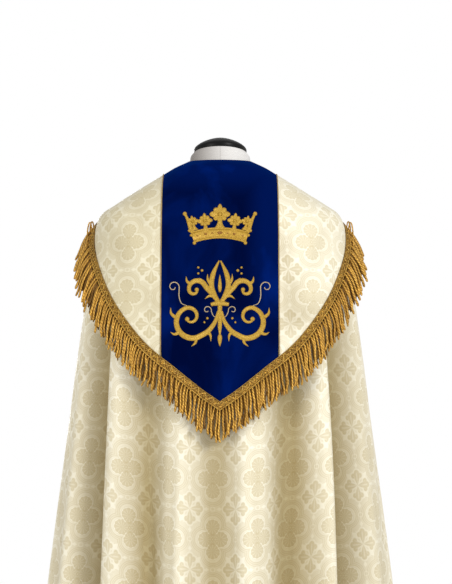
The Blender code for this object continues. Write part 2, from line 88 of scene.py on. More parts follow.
# %% The camera
CAMERA_DISTANCE = 3.2
CAMERA_HEIGHT = 1.256
CAMERA_ASIDE = 0.0116  # how far right of the object's middle it stands
VIEW_HEIGHT = 1.168  # metres of the picture's longer side, at the camera's distance
SENSOR = 36.0
camera_place = (CAMERA_ASIDE, -CAMERA_DISTANCE, CAMERA_HEIGHT)
bpy.ops.object.camera_add(location=camera_place, rotation=(math.pi / 2, 0, 0))
camera = bpy.context.object
camera.data.sensor_width = SENSOR
camera.data.lens = SENSOR * CAMERA_DISTANCE / VIEW_HEIGHT
bpy.context.scene.camera = camera
print("lens:", round(camera.data.lens, 1), "mm")

# %% [markdown]
# Cloth shows its folds best in one broad soft light from the front and a little to the side, with a
# weak one opposite, so that the troughs turn dark but never black. A lamp on the far side lights the
# front; it stands low, so that no light rakes over the shoulders. The room itself is white and gives
# the rest. A plain view transform keeps the cream of the cloth as it is mixed.

# %% The lights, the room and the floor
def aim(thing, target):
    """Turns a lamp or camera so that it looks at a point."""
    thing.rotation_euler = (Vector(target) - thing.location).to_track_quat("-Z", "Y").to_euler()


def softbox(name, place, target, size, power, colour=(1.0, 1.0, 1.0)):
    bpy.ops.object.light_add(type="AREA", location=place)
    lamp = bpy.context.object
    lamp.name = name
    lamp.data.shape = "SQUARE"
    lamp.data.size = size
    lamp.data.energy = power
    lamp.data.color = colour
    aim(lamp, target)
    return lamp


softbox("key_light", (2.55, -3.2, 2.9), (0.0, 0.0, 1.15), 1.1, 96.0, (1.0, 0.99, 0.97))
softbox("fill_light", (-2.75, -3.2, 1.9), (0.0, 0.0, 1.0), 1.4, 46.0, (1.0, 0.965, 0.89))
softbox("far_light", (-0.6, 3.6, 1.15), (0.0, 0.0, 1.0), 1.8, 80.0)

world = bpy.data.worlds.new("white_room")
bpy.context.scene.world = world
world.use_nodes = True
world_tree = world.node_tree
world_tree.nodes.clear()
seen = world_tree.nodes.new("ShaderNodeBackground")
seen.inputs["Color"].default_value = (1.0, 1.0, 1.0, 1.0)
lit = world_tree.nodes.new("ShaderNodeBackground")
lit.inputs["Color"].default_value = (1.0, 0.995, 0.985, 1.0)
lit.inputs["Strength"].default_value = 0.62
path = world_tree.nodes.new("ShaderNodeLightPath")
choice = world_tree.nodes.new("ShaderNodeMixShader")
world_out = world_tree.nodes.new("ShaderNodeOutputWorld")
world_tree.links.new(path.outputs["Is Camera Ray"], choice.inputs[0])
world_tree.links.new(lit.outputs[0], choice.inputs[1])
world_tree.links.new(seen.outputs[0], choice.inputs[2])
world_tree.links.new(choice.outputs[0], world_out.inputs[0])
bpy.context.scene.view_settings.view_transform = "Standard"

FLOOR_LEVEL = -0.0006  # just under the base, so that the two faces don't fill the same place
bpy.ops.mesh.primitive_circle_add(
    vertices=96, radius=3.0, fill_type="NGON", location=(0.0, 0.0, FLOOR_LEVEL)
)
floor = bpy.context.object
floor.name = "floor"
print("lights:", [o.name for o in bpy.context.scene.objects if o.type == "LIGHT"])

# %% [markdown]
# ## Mixing finishes
# Each finish is a tree of nodes. This small helper adds the nodes that do sums, with one short call
# each, so that a pattern reads like a sum.

# %% Sums made of nodes
class NodeSums:
    """Adds nodes to a tree. Most calls give back the new node's output, for the next call to take."""

    def __init__(self, tree):
        self.tree = tree

    def put(self, socket, value):
        if isinstance(value, bpy.types.NodeSocket):
            self.tree.links.new(value, socket)
        elif value is not None:
            socket.default_value = value

    def math(self, operation, *values):
        node = self.tree.nodes.new("ShaderNodeMath")
        node.operation = operation
        for socket, value in zip(node.inputs, values):
            self.put(socket, value)
        return node.outputs[0]

    # The sums that the patterns below use most, under short names.
    times = partialmethod(math, "MULTIPLY")
    times_plus = partialmethod(math, "MULTIPLY_ADD")
    plus = partialmethod(math, "ADD")
    minus = partialmethod(math, "SUBTRACT")
    least = partialmethod(math, "MINIMUM")
    most = partialmethod(math, "MAXIMUM")
    size = partialmethod(math, "ABSOLUTE")
    sine = partialmethod(math, "SINE")

    def apart(self, vector):
        node = self.tree.nodes.new("ShaderNodeSeparateXYZ")
        self.put(node.inputs[0], vector)
        return node.outputs[0], node.outputs[1], node.outputs[2]

    def together(self, x, y):
        node = self.tree.nodes.new("ShaderNodeCombineXYZ")
        for socket, value in zip(node.inputs, (x, y)):
            self.put(socket, value)
        return node.outputs[0]

    def distance(self, vector, point):
        node = self.tree.nodes.new("ShaderNodeVectorMath")
        node.operation = "DISTANCE"
        self.put(node.inputs[0], vector)
        node.inputs[1].default_value = point
        return node.outputs["Value"]

    def step(self, value, start, end):
        """0 before start and 1 after end, or the other way round, with a soft edge between."""
        node = self.tree.nodes.new("ShaderNodeMapRange")
        node.interpolation_type = "SMOOTHSTEP"
        for socket, given in zip(node.inputs, (value, start, end, 0.0, 1.0)):
            self.put(socket, given)
        return node.outputs[0]

    def band(self, value, low, high, soft):
        """1 between low and high, with soft edges."""
        rising = self.step(value, low - soft, low + soft)
        return self.times(rising, self.step(value, high + soft, high - soft))

    def mix(self, share, first, second, blend="MIX"):
        node = self.tree.nodes.new("ShaderNodeMix")
        node.data_type = "RGBA"
        node.blend_type = blend
        sockets = [s for s in node.inputs if s.enabled]
        for socket, value in zip(sockets, (share, first, second)):
            self.put(socket, (*value, 1.0) if isinstance(value, tuple) and len(value) == 3 else value)
        return [s for s in node.outputs if s.enabled][0]


print("sums with a short name:", sum(isinstance(v, partialmethod) for v in vars(NodeSums).values()))

# %% [markdown]
# A finish is such a tree with its material. Its other calls add what a pattern reads: the place on
# the piece, a number kept there, a texture. What is the same all over is set on the shader itself.

# %% A material and what it reads
class Finish(NodeSums):
    """A material with a Principled shader."""

    def __init__(self, name, **same_all_over):
        self.material = bpy.data.materials.new(name)
        self.material.use_nodes = True
        super().__init__(self.material.node_tree)
        self.shader = self.tree.nodes["Principled BSDF"]
        for key, value in same_all_over.items():
            self.shader.inputs[key.replace("_", " ")].default_value = value

    def to(self, socket, value):
        self.put(self.shader.inputs[socket], value)

    def coordinates(self, scale=(1.0, 1.0, 1.0), uv=None):
        """The piece's own place in metres, or the named UV map, stretched by a Mapping node."""
        if uv:
            source = self.tree.nodes.new("ShaderNodeUVMap")
            source.uv_map = uv
            out = source.outputs["UV"]
        else:
            out = self.tree.nodes.new("ShaderNodeTexCoord").outputs["Object"]
        mapping = self.tree.nodes.new("ShaderNodeMapping")
        mapping.inputs["Scale"].default_value = scale
        self.tree.links.new(out, mapping.inputs["Vector"])
        return mapping.outputs["Vector"]

    def attribute(self, name):
        """The number that a piece keeps at each of its points under this name."""
        node = self.tree.nodes.new("ShaderNodeAttribute")
        node.attribute_name = name
        return node.outputs["Fac"]

    def noise(self, vector, scale, detail=2.0, roughness=0.5, distortion=0.0):
        node = self.tree.nodes.new("ShaderNodeTexNoise")
        self.put(node.inputs["Vector"], vector)
        for key, value in (("Scale", scale), ("Detail", detail), ("Roughness", roughness),
                           ("Distortion", distortion)):
            node.inputs[key].default_value = value
        return node.outputs[0]

    def cells(self, vector, scale):
        node = self.tree.nodes.new("ShaderNodeTexVoronoi")
        self.put(node.inputs["Vector"], vector)
        node.inputs["Scale"].default_value = scale
        return node.outputs["Distance"]

    def bump(self, height, strength, distance, normal=None):
        node = self.tree.nodes.new("ShaderNodeBump")
        node.inputs["Strength"].default_value = strength
        node.inputs["Distance"].default_value = distance
        self.put(node.inputs["Height"], height)
        self.put(node.inputs["Normal"], normal)
        return node.outputs[0]


paper = Finish("floor_paint", Roughness=0.85, Specular_IOR_Level=0.2)
grain = paper.noise(paper.coordinates(), 60.0, 3.0)
paper.to("Base Color", paper.mix(grain, (0.84, 0.84, 0.835), (0.88, 0.88, 0.875)))
floor.data.materials.append(paper.material)
print("floor finish:", paper.material.name)

# %% [markdown]
# ## How the cloak hangs
# The cloak is described ring by ring from the neck to the hem. Each ring is a rounded outline with
# its own width, depth and heights, and the folds are troughs pressed into it that grow from where
# they start down to the hem. These are the same tables that the CAD solids are built from.

# %% Rings and folds
CLOTH = 0.002
FRONT_OPENING = 0.028
HOOD_EASE, NECK_EASE, NECK_EASE_ROWS = 0.0042, 0.0022, 1.5
# Each ring: half width, back depth, front depth, its heights at the back, the side and the front, how
# far the fold lines turn there in degrees, and its squareness.
RINGS = np.array([
    (0.0620, 0.0640, 0.1080, 1.5115, 1.5120, 1.3700, 0.0, 2.00),
    (0.0840, 0.0820, 0.1150, 1.5030, 1.5000, 1.3560, 0.0, 2.05),
    (0.1070, 0.0960, 0.1210, 1.4905, 1.4860, 1.3400, 0.0, 2.10),
    (0.1560, 0.1170, 0.1300, 1.4590, 1.4560, 1.3080, 0.0, 2.20),
    (0.2050, 0.1350, 0.1380, 1.4200, 1.4240, 1.2760, 0.0, 2.30),
    (0.2290, 0.1450, 0.1440, 1.3850, 1.4085, 1.2500, 0.0, 2.35),
    (0.2400, 0.1530, 0.1490, 1.3520, 1.3890, 1.2250, 0.0, 2.35),
    (0.2455, 0.1590, 0.1530, 1.3180, 1.3600, 1.1950, 0.0, 2.35),
    (0.2560, 0.1670, 0.1600, 1.2680, 1.3080, 1.1500, 0.0, 2.35),
    (0.2700, 0.1780, 0.1690, 1.1900, 1.2250, 1.0800, 0.0, 2.35),
    (0.2870, 0.1910, 0.1800, 1.0750, 1.1050, 0.9750, 0.8, 2.35),
    (0.3085, 0.2080, 0.1950, 0.9250, 0.9450, 0.8350, 2.6, 2.30),
    (0.3345, 0.2290, 0.2130, 0.7350, 0.7500, 0.6700, 5.8, 2.25),
    (0.3650, 0.2540, 0.2370, 0.5100, 0.5200, 0.4700, 9.5, 2.20),
    (0.3960, 0.2800, 0.2650, 0.2850, 0.2900, 0.2650, 12.8, 2.15),
    (0.4260, 0.3050, 0.2900, 0.0600, 0.0600, 0.0600, 16.0, 2.10),
])
LAST_RING = len(RINGS) - 1
HEM_HEIGHT = 0.06
# Each fold: its angle from the middle of the back, its reach to both sides, its depth at the hem and
# the height where it starts.
Fold = namedtuple("Fold", "angle left right depth start")
FOLDS = [
    Fold(-167.0, 8.0, 8.0, 0.040, 1.24), Fold(-149.0, 10.0, 9.0, 0.072, 1.26),
    Fold(-128.0, 11.0, 11.0, 0.058, 1.26), Fold(-105.0, 12.0, 15.0, 0.078, 1.30),
    Fold(-65.5, 12.0, 9.5, 0.122, 1.36), Fold(-41.5, 12.0, 21.0, 0.067, 1.30),
    Fold(-0.5, 24.5, 17.0, 0.044, 1.30), Fold(43.0, 25.5, 10.0, 0.099, 1.30),
    Fold(63.0, 8.5, 16.5, 0.122, 1.36), Fold(108.0, 16.0, 12.0, 0.072, 1.30),
    Fold(131.0, 11.0, 11.0, 0.062, 1.26), Fold(152.0, 9.0, 10.0, 0.076, 1.26),
    Fold(169.0, 7.0, 7.0, 0.036, 1.24),
]
FOLD_GROWTH = 0.6  # the power by which a fold deepens on its way down
print("rings:", len(RINGS), " folds:", len(FOLDS))

# %% [markdown]
# Real cloth is never as even as a table. Small soft creases are placed between the main folds: each one
# is a shallow hollow that runs down the cloth, drifts a little to one side and fades out at both ends.
# They are uneven on purpose, and go round the sides and the front as well.

# %% Small creases
# Each crease: angle, drift in degrees for each metre down, half width in degrees, depth, top, bottom.
Crease = namedtuple("Crease", "angle drift half_width depth top bottom")
CREASES = [
    Crease(-57.5, 3.0, 5.5, 0.0050, 1.22, 0.30), Crease(-49.0, -6.0, 4.5, 0.0036, 1.16, 0.70),
    Crease(-43.5, 8.0, 6.0, 0.0046, 1.02, 0.00), Crease(-24.0, -5.0, 5.0, 0.0044, 1.14, 0.42),
    Crease(-16.5, 4.0, 6.0, 0.0038, 1.00, 0.00), Crease(-8.0, 7.0, 4.0, 0.0028, 1.06, 0.60),
    Crease(9.5, -7.0, 4.5, 0.0034, 1.08, 0.55), Crease(18.5, 3.0, 5.0, 0.0046, 1.12, 0.10),
    Crease(24.5, -4.0, 4.0, 0.0030, 0.98, 0.00), Crease(46.5, 5.0, 5.0, 0.0046, 1.16, 0.26),
    Crease(53.0, -5.0, 4.5, 0.0040, 1.10, 0.00), Crease(59.0, 2.0, 4.0, 0.0034, 1.24, 0.62),
    Crease(-78.0, -4.0, 5.0, 0.0055, 1.20, 0.20), Crease(-86.0, 6.0, 6.0, 0.0060, 1.10, 0.00),
    Crease(-95.0, -5.0, 5.0, 0.0050, 1.22, 0.50), Crease(-116.0, 5.0, 5.0, 0.0052, 1.16, 0.10),
    Crease(-122.0, -4.0, 4.0, 0.0036, 1.04, 0.36), Crease(-138.0, 4.0, 4.0, 0.0046, 1.14, 0.00),
    Crease(-158.0, -3.0, 3.5, 0.0040, 1.12, 0.24), Crease(78.5, 5.0, 5.5, 0.0058, 1.18, 0.10),
    Crease(88.0, -6.0, 5.5, 0.0054, 1.12, 0.40), Crease(97.0, 4.0, 5.0, 0.0056, 1.20, 0.00),
    Crease(118.5, -4.0, 4.5, 0.0048, 1.14, 0.16), Crease(124.5, 5.0, 4.0, 0.0034, 1.02, 0.00),
    Crease(141.0, -3.0, 4.5, 0.0046, 1.12, 0.30), Crease(161.0, 3.0, 3.5, 0.0040, 1.10, 0.00),
]
CREASE_BEGINS, CREASE_FADES = 0.30, 0.25  # metres of height in which a crease deepens and runs out
# The numbers below set painted shade, which darkens the cloak's colour deep in its folds and creases.
DEEP_FOLD = 0.1  # a fold deeper than this lies in shade up to its edges
SHADE_BEGINS = 0.24  # metres of height in which a fold's shade sets in
FOLD_SHADE, SHADE_BY_DEPTH = 0.72, 3.2  # a fold's shade, and how much more for each metre of depth
CREASE_SHADE_BY_DEPTH = 45.0


def smooth(t):
    """0 up to 1 with no corner at either end."""
    t = np.clip(t, 0.0, 1.0)
    return t * t * (3.0 - 2.0 * t)


def trough(away):
    """The section of a fold or crease: 1 along its middle, down to 0 at its edge, where away is 1."""
    return np.cos(np.minimum(away, 1.0) * np.pi / 2) ** 2


def crease_depth(angle, height):
    total = np.zeros(np.broadcast(angle, height).shape)
    for c in CREASES:
        away = np.abs(angle - c.angle - c.drift * (c.top - height)) / c.half_width
        begun = smooth((c.top - height) / CREASE_BEGINS)
        fading = smooth((height - c.bottom) / CREASE_FADES + 0.4)
        total += c.depth * trough(away) * begun * fading
    return total


def fold_painted_shade(angle, height):
    """Painted shade by how far down in a fold or crease a place of the cloak is, from 0 to just over 1.
    """
    total = np.zeros(np.broadcast(angle, height).shape)
    for fold in FOLDS:
        away = angle - fold.angle
        share = np.minimum(np.abs(away) / np.where(away < 0, fold.left, fold.right), 1.0)
        breadth = 1.3 if fold.depth > DEEP_FOLD else 2.0
        shade = np.clip(np.cos(share * np.pi / 2), 0.0, 1.0) ** breadth
        begun = smooth((fold.start - height) / SHADE_BEGINS)
        total += shade * begun * (FOLD_SHADE + SHADE_BY_DEPTH * fold.depth)
    return np.clip(total + crease_depth(angle, height) * CREASE_SHADE_BY_DEPTH, 0.0, 1.1)


print("creases:", len(CREASES))

# %% [markdown]
# The next functions turn an angle round the wearer and a ring number into a point of the cloak. They
# take whole arrays, so a sheet of many thousand points is made in one call.

# %% Points of the cloak
def curve(a, b, c, d, t):
    """A smooth curve from b to c that comes from a and goes on to d, at t from 0 to 1."""
    return b + 0.5 * t * (c - a + t * (2 * a - 5 * b + 4 * c - d + t * (3 * (b - c) + d - a)))


def ring_at(v):
    """The ring's eight values at any place between the rings, on a smooth curve through them."""
    i = np.clip(v.astype(int), 0, LAST_RING - 1)
    near = [RINGS[np.clip(i + k, 0, LAST_RING)] for k in (-1, 0, 1, 2)]
    return curve(*near, (v - i)[..., None])


def fold_depth(angle, height):
    total = np.zeros(np.broadcast(angle, height).shape)
    for fold in FOLDS:
        away = angle - fold.angle
        share = np.abs(away) / np.where(away < 0, fold.left, fold.right)
        grown = np.clip((fold.start - height) / (fold.start - HEM_HEIGHT), 0.0, None) ** FOLD_GROWTH
        total += fold.depth * grown * np.where(share < 1.0, trough(share), 0.0)
    return total


def drape(angle, v, folded=True):
    """Points of the cloak's outside, v rings down from the neck, or of its hull without the folds."""
    angle, v = np.broadcast_arrays(np.asarray(angle, float), np.asarray(v, float))
    half_width, back, front, z_back, z_side, z_front, turn, squareness = np.moveaxis(ring_at(v), -1, 0)
    turned = np.radians(angle) - np.radians(turn) * np.sin(np.radians(angle))
    cosine, sine = np.cos(turned), np.sin(turned)
    height = z_side + (np.where(cosine > 0, z_back, z_front) - z_side) * cosine * cosine
    depth = np.where(cosine > 0, back, front)
    reach = (np.abs(cosine) / depth) ** squareness + (np.abs(sine) / half_width) ** squareness
    radius = reach ** (-1 / squareness)
    if folded:
        radius = radius - fold_depth(angle, height) - crease_depth(angle, height)
    return np.stack((radius * sine, -radius * cosine, height), axis=-1)


neck_point, hem_point = drape(np.zeros(2), np.array([0.0, LAST_RING])).round(3).tolist()
print("middle of the back, at the neck:", neck_point, " at the hem:", hem_point)

# %% [markdown]
# A sheet also has to know which way it faces, so that the next one can be laid over it, and where it
# ends at the front. Lengths of cloth are counted along lines of points, as a tape measure would.

# %% Directions, edges and lengths
NEAR_RINGS, NEAR_DEGREES = 0.05, 0.3  # how far off the points lie that a direction is read from
HALVINGS = 36  # of the span that a search starts from


def unit(vectors):
    return vectors / np.linalg.norm(vectors, axis=-1, keepdims=True)


def run_along(points):
    """How far along a line of points each one is, counted from the first."""
    steps = np.linalg.norm(np.diff(points, axis=0), axis=1)
    return np.concatenate(([0], np.cumsum(steps)))


def outward(angle, v, folded=True):
    """The way that the outside faces, by finite differences."""
    low, high = np.clip(v - NEAR_RINGS, 0, LAST_RING), np.clip(v + NEAR_RINGS, 0, LAST_RING)
    across = drape(angle + NEAR_DEGREES, v, folded) - drape(angle - NEAR_DEGREES, v, folded)
    down = drape(angle, high, folded) - drape(angle, low, folded)
    return unit(np.cross(down, across))


def front_edge(v):
    """The angle at which a ring ends at the front opening."""
    ring = ring_at(np.asarray(v, float))
    turned = np.pi - np.arcsin(FRONT_OPENING / 2 / ring[..., 2])
    return np.degrees(turned) + ring[..., 6] * np.sin(turned)


def solve(function, low, high):
    """Where a falling function crosses 0, for a whole array of cases at once."""
    for _ in range(HALVINGS):
        middle = (low + high) / 2
        above = function(middle) > 0
        low, high = np.where(above, middle, low), np.where(above, high, middle)
    return (low + high) / 2


hem = drape(np.linspace(-180, 180, 721), np.full(721, float(LAST_RING)))
print("length of cloth round the hem:", round(float(run_along(hem)[-1]), 2), "m")

# %% [markdown]
# ## A sheet of cloth
# An operator acts on all that is selected, so the selection is set before each one. A mesh hands over
# its points as one long row of numbers, which is quick, and the row is then cut into places.

# %% Selecting a piece and reading its points
def deselect():
    if bpy.context.object and bpy.context.object.mode != "OBJECT":
        bpy.ops.object.mode_set(mode="OBJECT")
    bpy.ops.object.select_all(action="DESELECT")


def only(piece):
    deselect()
    piece.select_set(True)
    bpy.context.view_layer.objects.active = piece


def vertex_places(mesh):
    """The places of a mesh's points, a row for each."""
    places = np.empty(len(mesh.vertices) * 3)
    mesh.vertices.foreach_get("co", places)
    return places.reshape(-1, 3)


def corner_points(mesh):
    """Which point lies at each corner of each face."""
    corners = np.empty(len(mesh.loops), int)
    mesh.loops.foreach_get("vertex_index", corners)
    return corners


print("points round the floor:", len(vertex_places(floor.data)))

# %% [markdown]
# Every sheet starts as a flat grid, which is what cloth is before it is cut and hung. Its points are
# then carried to where the cloth lies. The face and its lining could be two sheets, but one turn of
# Solidify makes both: the inner side simply takes the second material.

# %% Turning a grid into a sheet
CLOTH_BEND = 62  # degrees; sharper edges, such as the turned edge of a wall, stay crisp


def lay_sheet(name, points, uv=None, materials=(), painted_shade=None):
    """A grid primitive whose points are moved to points[row][column], rows going down."""
    rows, columns = points.shape[:2]
    deselect()
    bpy.ops.mesh.primitive_grid_add(x_subdivisions=columns - 1, y_subdivisions=rows - 1, size=2.0)
    sheet = bpy.context.object
    sheet.name = sheet.data.name = name
    flat = vertex_places(sheet.data)
    column = np.rint((flat[:, 0] + 1) / 2 * (columns - 1)).astype(int)
    row = np.rint((1 - flat[:, 1]) / 2 * (rows - 1)).astype(int)
    sheet.data.vertices.foreach_set("co", points[row, column].ravel())
    for layer in list(sheet.data.uv_layers):
        sheet.data.uv_layers.remove(layer)
    if uv is not None:
        layer = sheet.data.uv_layers.new(name="cut")
        layer.data.foreach_set("uv", uv[row, column][corner_points(sheet.data)].ravel())
    # Painted shade: a number at each point, by which the finish darkens the colour.
    if painted_shade is not None:
        kept = sheet.data.attributes.new("painted_shade", "FLOAT", "POINT")
        kept.data.foreach_set("value", painted_shade[row, column])
    for material in materials:
        sheet.data.materials.append(material)
    sheet.data.update()
    return sheet


def smoothed(piece, degrees):
    """Shades a piece smooth, apart from the edges where it bends by more than this."""
    only(piece)
    bpy.ops.object.shade_smooth_by_angle(angle=math.radians(degrees))
    return piece


def thicken(sheet, thickness=CLOTH, lining=1):
    """Gives the sheet its thickness, inwards from the side that shows."""
    only(sheet)
    wall = sheet.modifiers.new("wall", "SOLIDIFY")
    wall.thickness = thickness
    wall.offset = -1.0
    wall.use_even_offset = False
    wall.material_offset = lining
    bpy.ops.object.modifier_apply(modifier="wall")
    return smoothed(sheet, CLOTH_BEND)


print("a sheet is", CLOTH * 1000, "mm thick, and smooth where it bends by less than", CLOTH_BEND)

# %% [markdown]
# A sheet's cut is measured: how long it is along its rows and columns, and its area. Then each piece is
# told which body it rides on and which CAD node it stands for.

# %% Measuring and finishing a sheet
def lengths(points, axis):
    """Length of cloth along a grid's rows or columns, counted from its first point."""
    steps = np.linalg.norm(np.diff(points, axis=axis), axis=-1)
    pad = [(0, 0), (0, 0)]
    pad[axis] = (1, 0)
    return np.pad(np.cumsum(steps, axis=axis), pad)


def area_of(points):
    a = points[1:, 1:] - points[:-1, :-1]
    b = points[1:, :-1] - points[:-1, 1:]
    return float(np.linalg.norm(np.cross(a, b), axis=-1).sum() / 2)


def finished(piece, slot, *nodes):
    """Every piece rides on the one body, and takes the place of its CAD nodes."""
    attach(piece, "root")
    if nodes:
        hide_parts(*nodes)
    return piece


def counted(piece):
    return f"{piece.name}: {len(piece.data.polygons)} faces"


square = np.array([[[0, 0, 0], [1, 0, 0]], [[0, 1, 0], [1, 1, 0]]])
print("a square with sides of 1 m measures", area_of(square), "m2")

# %% [markdown]
# ## Damask
# Damask is one colour of silk woven two ways: where the weave changes, the light leaves it
# differently, so the pattern is seen tone on tone. The pattern here is an old church one, a
# quatrefoil in scalloped rings that alternates with a flared cross. It is drawn with distances:
# how far a point is from the nearest lobe or arm, in millimetres of cloth, folded into one repeat.

# %% A petal of the damask
REPEAT = (90.5, 113.0)  # millimetres, across and down
HALF_ACROSS, HALF_DOWN = REPEAT[0] / 2, REPEAT[1] / 2
CROSS = (25.4, 29.8)  # reach of the cross's arms


def petal(f, along, across, middle, radius, spread):
    """Distance outside a petal, plain and scalloped, and its beads. It opens by spread degrees from
    its foot at 0, and ends in a half circle of this radius round middle."""
    past = f.most(f.minus(along, middle), 0.0)
    far = f.minus(f.distance(f.together(across, past), (0.0, 0.0, 0.0)), radius)
    lean = math.radians(spread)
    side = f.times_plus(across, math.cos(lean), f.times(along, -math.sin(lean)))
    plain = f.most(far, side)
    turn = f.math("ARCTAN2", across, f.minus(along, middle * 0.92))
    bead = f.size(f.math("COSINE", f.times(turn, 5.5)))
    return plain, f.times_plus(bead, -1.3, plain), bead


print("one repeat of the damask:", REPEAT[0], "by", REPEAT[1], "mm")

# %% [markdown]
# The figures hand over their shapes one by one, from the ground up: where the shape lies and how much
# lighter or darker it is woven. The quatrefoil has fine rings, and four petals with rays in them.

# %% The quatrefoil
FINE_RINGS = (1.5, 4.6, 7.9)  # millimetres outside the petals


def quatrefoil(f, x, y, place):
    """Four petals round the middle of the repeat."""
    # Thin rings follow the four petals at even distances, on a ground a little darker than the rest.
    tall, tall_edge, tall_bead = petal(f, y, x, 23.6, 12.6, 30.0)
    wide, wide_edge, wide_bead = petal(f, x, y, 15.0, 13.4, 50.0)
    lobe = f.least(tall, wide)
    leafy = f.least(tall_edge, wide_edge)
    high = f.minus(f.distance(place, (0.0, 27.0, 0.0)), 16.4)
    broad = f.minus(f.distance(place, (17.6, 0.0, 0.0)), 17.4)
    halo = f.least(high, broad)
    yield f.step(halo, 9.8, 8.8), -0.14
    for ring in FINE_RINGS:
        yield f.band(halo, ring - 0.40, ring + 0.40, 0.50), -0.80
        yield f.band(halo, ring + 1.1, ring + 1.7, 0.5), 0.30
    yield f.step(halo, 0.7, -0.4), 0.50
    yield f.band(lobe, 2.6, 3.3, 0.35), -0.42
    yield f.step(lobe, 2.1, 1.3), 0.75

    # The petals have a scalloped rim, and rays from their middle part them into leaflets.
    yield f.step(leafy, 0.4, -0.7), -1.94
    parted = f.step(f.size(f.minus(tall, wide)), 1.7, 0.7)
    yield f.times(parted, f.step(lobe, 0.8, -0.6)), 0.85
    rays = f.most(f.times(f.band(tall, -8.6, -1.6, 0.8), f.step(tall_bead, 0.50, 0.16)),
                  f.times(f.band(wide, -8.6, -1.6, 0.8), f.step(wide_bead, 0.50, 0.16)))
    yield rays, 0.85
    yield f.band(lobe, -9.9, -9.1, 0.5), 0.45
    centre = f.distance(place, (0.0, 0.0, 0.0))
    yield f.step(centre, 4.4, 3.4), -0.40
    yield f.band(centre, 4.4, 5.0, 0.5), 0.45


print("rings round a quatrefoil:", len(FINE_RINGS))

# %% [markdown]
# The leafy cross stands in the corners of the repeat. Its places are counted along and across its
# arms, as shares of their reach, so that one arm drawn here serves for all four.

# %% The leafy cross
def cross_outline(f, length, breadth):
    """Distance outside the cross, whose arms end in three lobes."""
    spot = f.together(length, breadth)
    flare = f.times(f.math("POWER", f.most(length, 0.0), 1.2), 0.52)
    arm = f.most(f.minus(breadth, flare), f.minus(length, 0.74))
    tip = f.minus(f.distance(spot, (0.80, 0.0, 0.0)), 0.20)
    side = f.minus(f.distance(spot, (0.64, 0.265, 0.0)), 0.155)
    return f.least(arm, f.least(tip, side))


def leafy_cross(f, length, breadth, cross):
    """The cross within its dark edge, with a pale vein down each arm and two branches."""
    yield f.step(cross, 0.135, 0.095), 0.62
    yield f.step(cross, 0.030, -0.020), -1.22
    vein = f.times_plus(length, 0.05, 0.01)
    vein = f.times(f.step(f.minus(breadth, vein), 0.045, -0.030), f.step(length, 0.92, 0.70))
    yield vein, 0.80
    branch = f.size(f.minus(breadth, f.times(length, 0.40)))
    yield f.times(f.step(branch, 0.045, 0.010), f.band(length, 0.34, 0.66, 0.05)), 0.50


print("a cross is", 2 * CROSS[0], "by", 2 * CROSS[1], "mm")

# %% [markdown]
# A bright leaf stands in each angle of the cross, and a lozenge on each side of a small rosette. Then
# all is put together: the cloth is folded into a quarter of the repeat, and each shape added in turn.

# %% One repeat
def leaves_and_rosettes(f, x, y, place, a, b):
    """What fills the ground between the quatrefoils and the crosses."""
    u, v = f.plus(a, b), f.size(f.minus(a, b))
    leaf = f.plus(f.times(f.size(f.minus(u, 1.27)), 0.62), v)
    yield f.step(leaf, 0.30, 0.19), 0.85
    at_side, at_top = (HALF_ACROSS, 0.0, 0.0), (0.0, HALF_DOWN, 0.0)
    rose = f.least(f.distance(place, at_side), f.distance(place, at_top))
    yield f.band(rose, 3.1, 5.2, 0.5), 0.55
    yield f.step(rose, 3.0, 2.2), -0.15
    from_side = f.times(f.minus(HALF_ACROSS, x), 1.6)
    from_side = f.plus(from_side, f.size(f.minus(y, 17.6)))
    from_top = f.times(f.minus(HALF_DOWN, y), 1.6)
    from_top = f.plus(from_top, f.size(f.minus(x, 12.5)))
    yield f.step(f.least(from_side, from_top), 7.0, 4.4), 0.85


def damask_pattern(f, uv):
    """Returns the tone of the weave, about -1 to 1, at each place of the cut cloth."""
    across, along, _ = f.apart(uv)
    x = f.size(f.math("WRAP", across, HALF_ACROSS, -HALF_ACROSS))
    y = f.size(f.math("WRAP", along, HALF_DOWN, -HALF_DOWN))
    place = f.together(x, y)
    tone = 0.22
    for mask, share in quatrefoil(f, x, y, place):
        tone = f.times_plus(mask, share, tone)
    a = f.math("DIVIDE", f.minus(HALF_ACROSS, x), CROSS[0])
    b = f.math("DIVIDE", f.minus(HALF_DOWN, y), CROSS[1])
    length, breadth = f.most(a, b), f.least(a, b)
    cross = cross_outline(f, length, breadth)
    tone = f.times(tone, f.step(cross, 0.00, 0.08))  # nothing else is woven inside the cross
    for mask, share in leafy_cross(f, length, breadth, cross):
        tone = f.times_plus(mask, share, tone)
    for mask, share in leaves_and_rosettes(f, x, y, place, a, b):
        tone = f.times_plus(mask, share, tone)
    return tone, across, along


print("the cloth is folded into", HALF_ACROSS, "by", HALF_DOWN, "mm")

# %% [markdown]
# The weave's tone then becomes colour, roughness and bump. Slubs and a mottle keep the silk from
# looking printed, a wear pattern lets the figure come and go, and warp and weft are a fine bump. The
# lining is a plain sateen with long streaks.

# %% Silk and sateen
THREAD_PITCH = 0.62  # millimetres from thread to thread


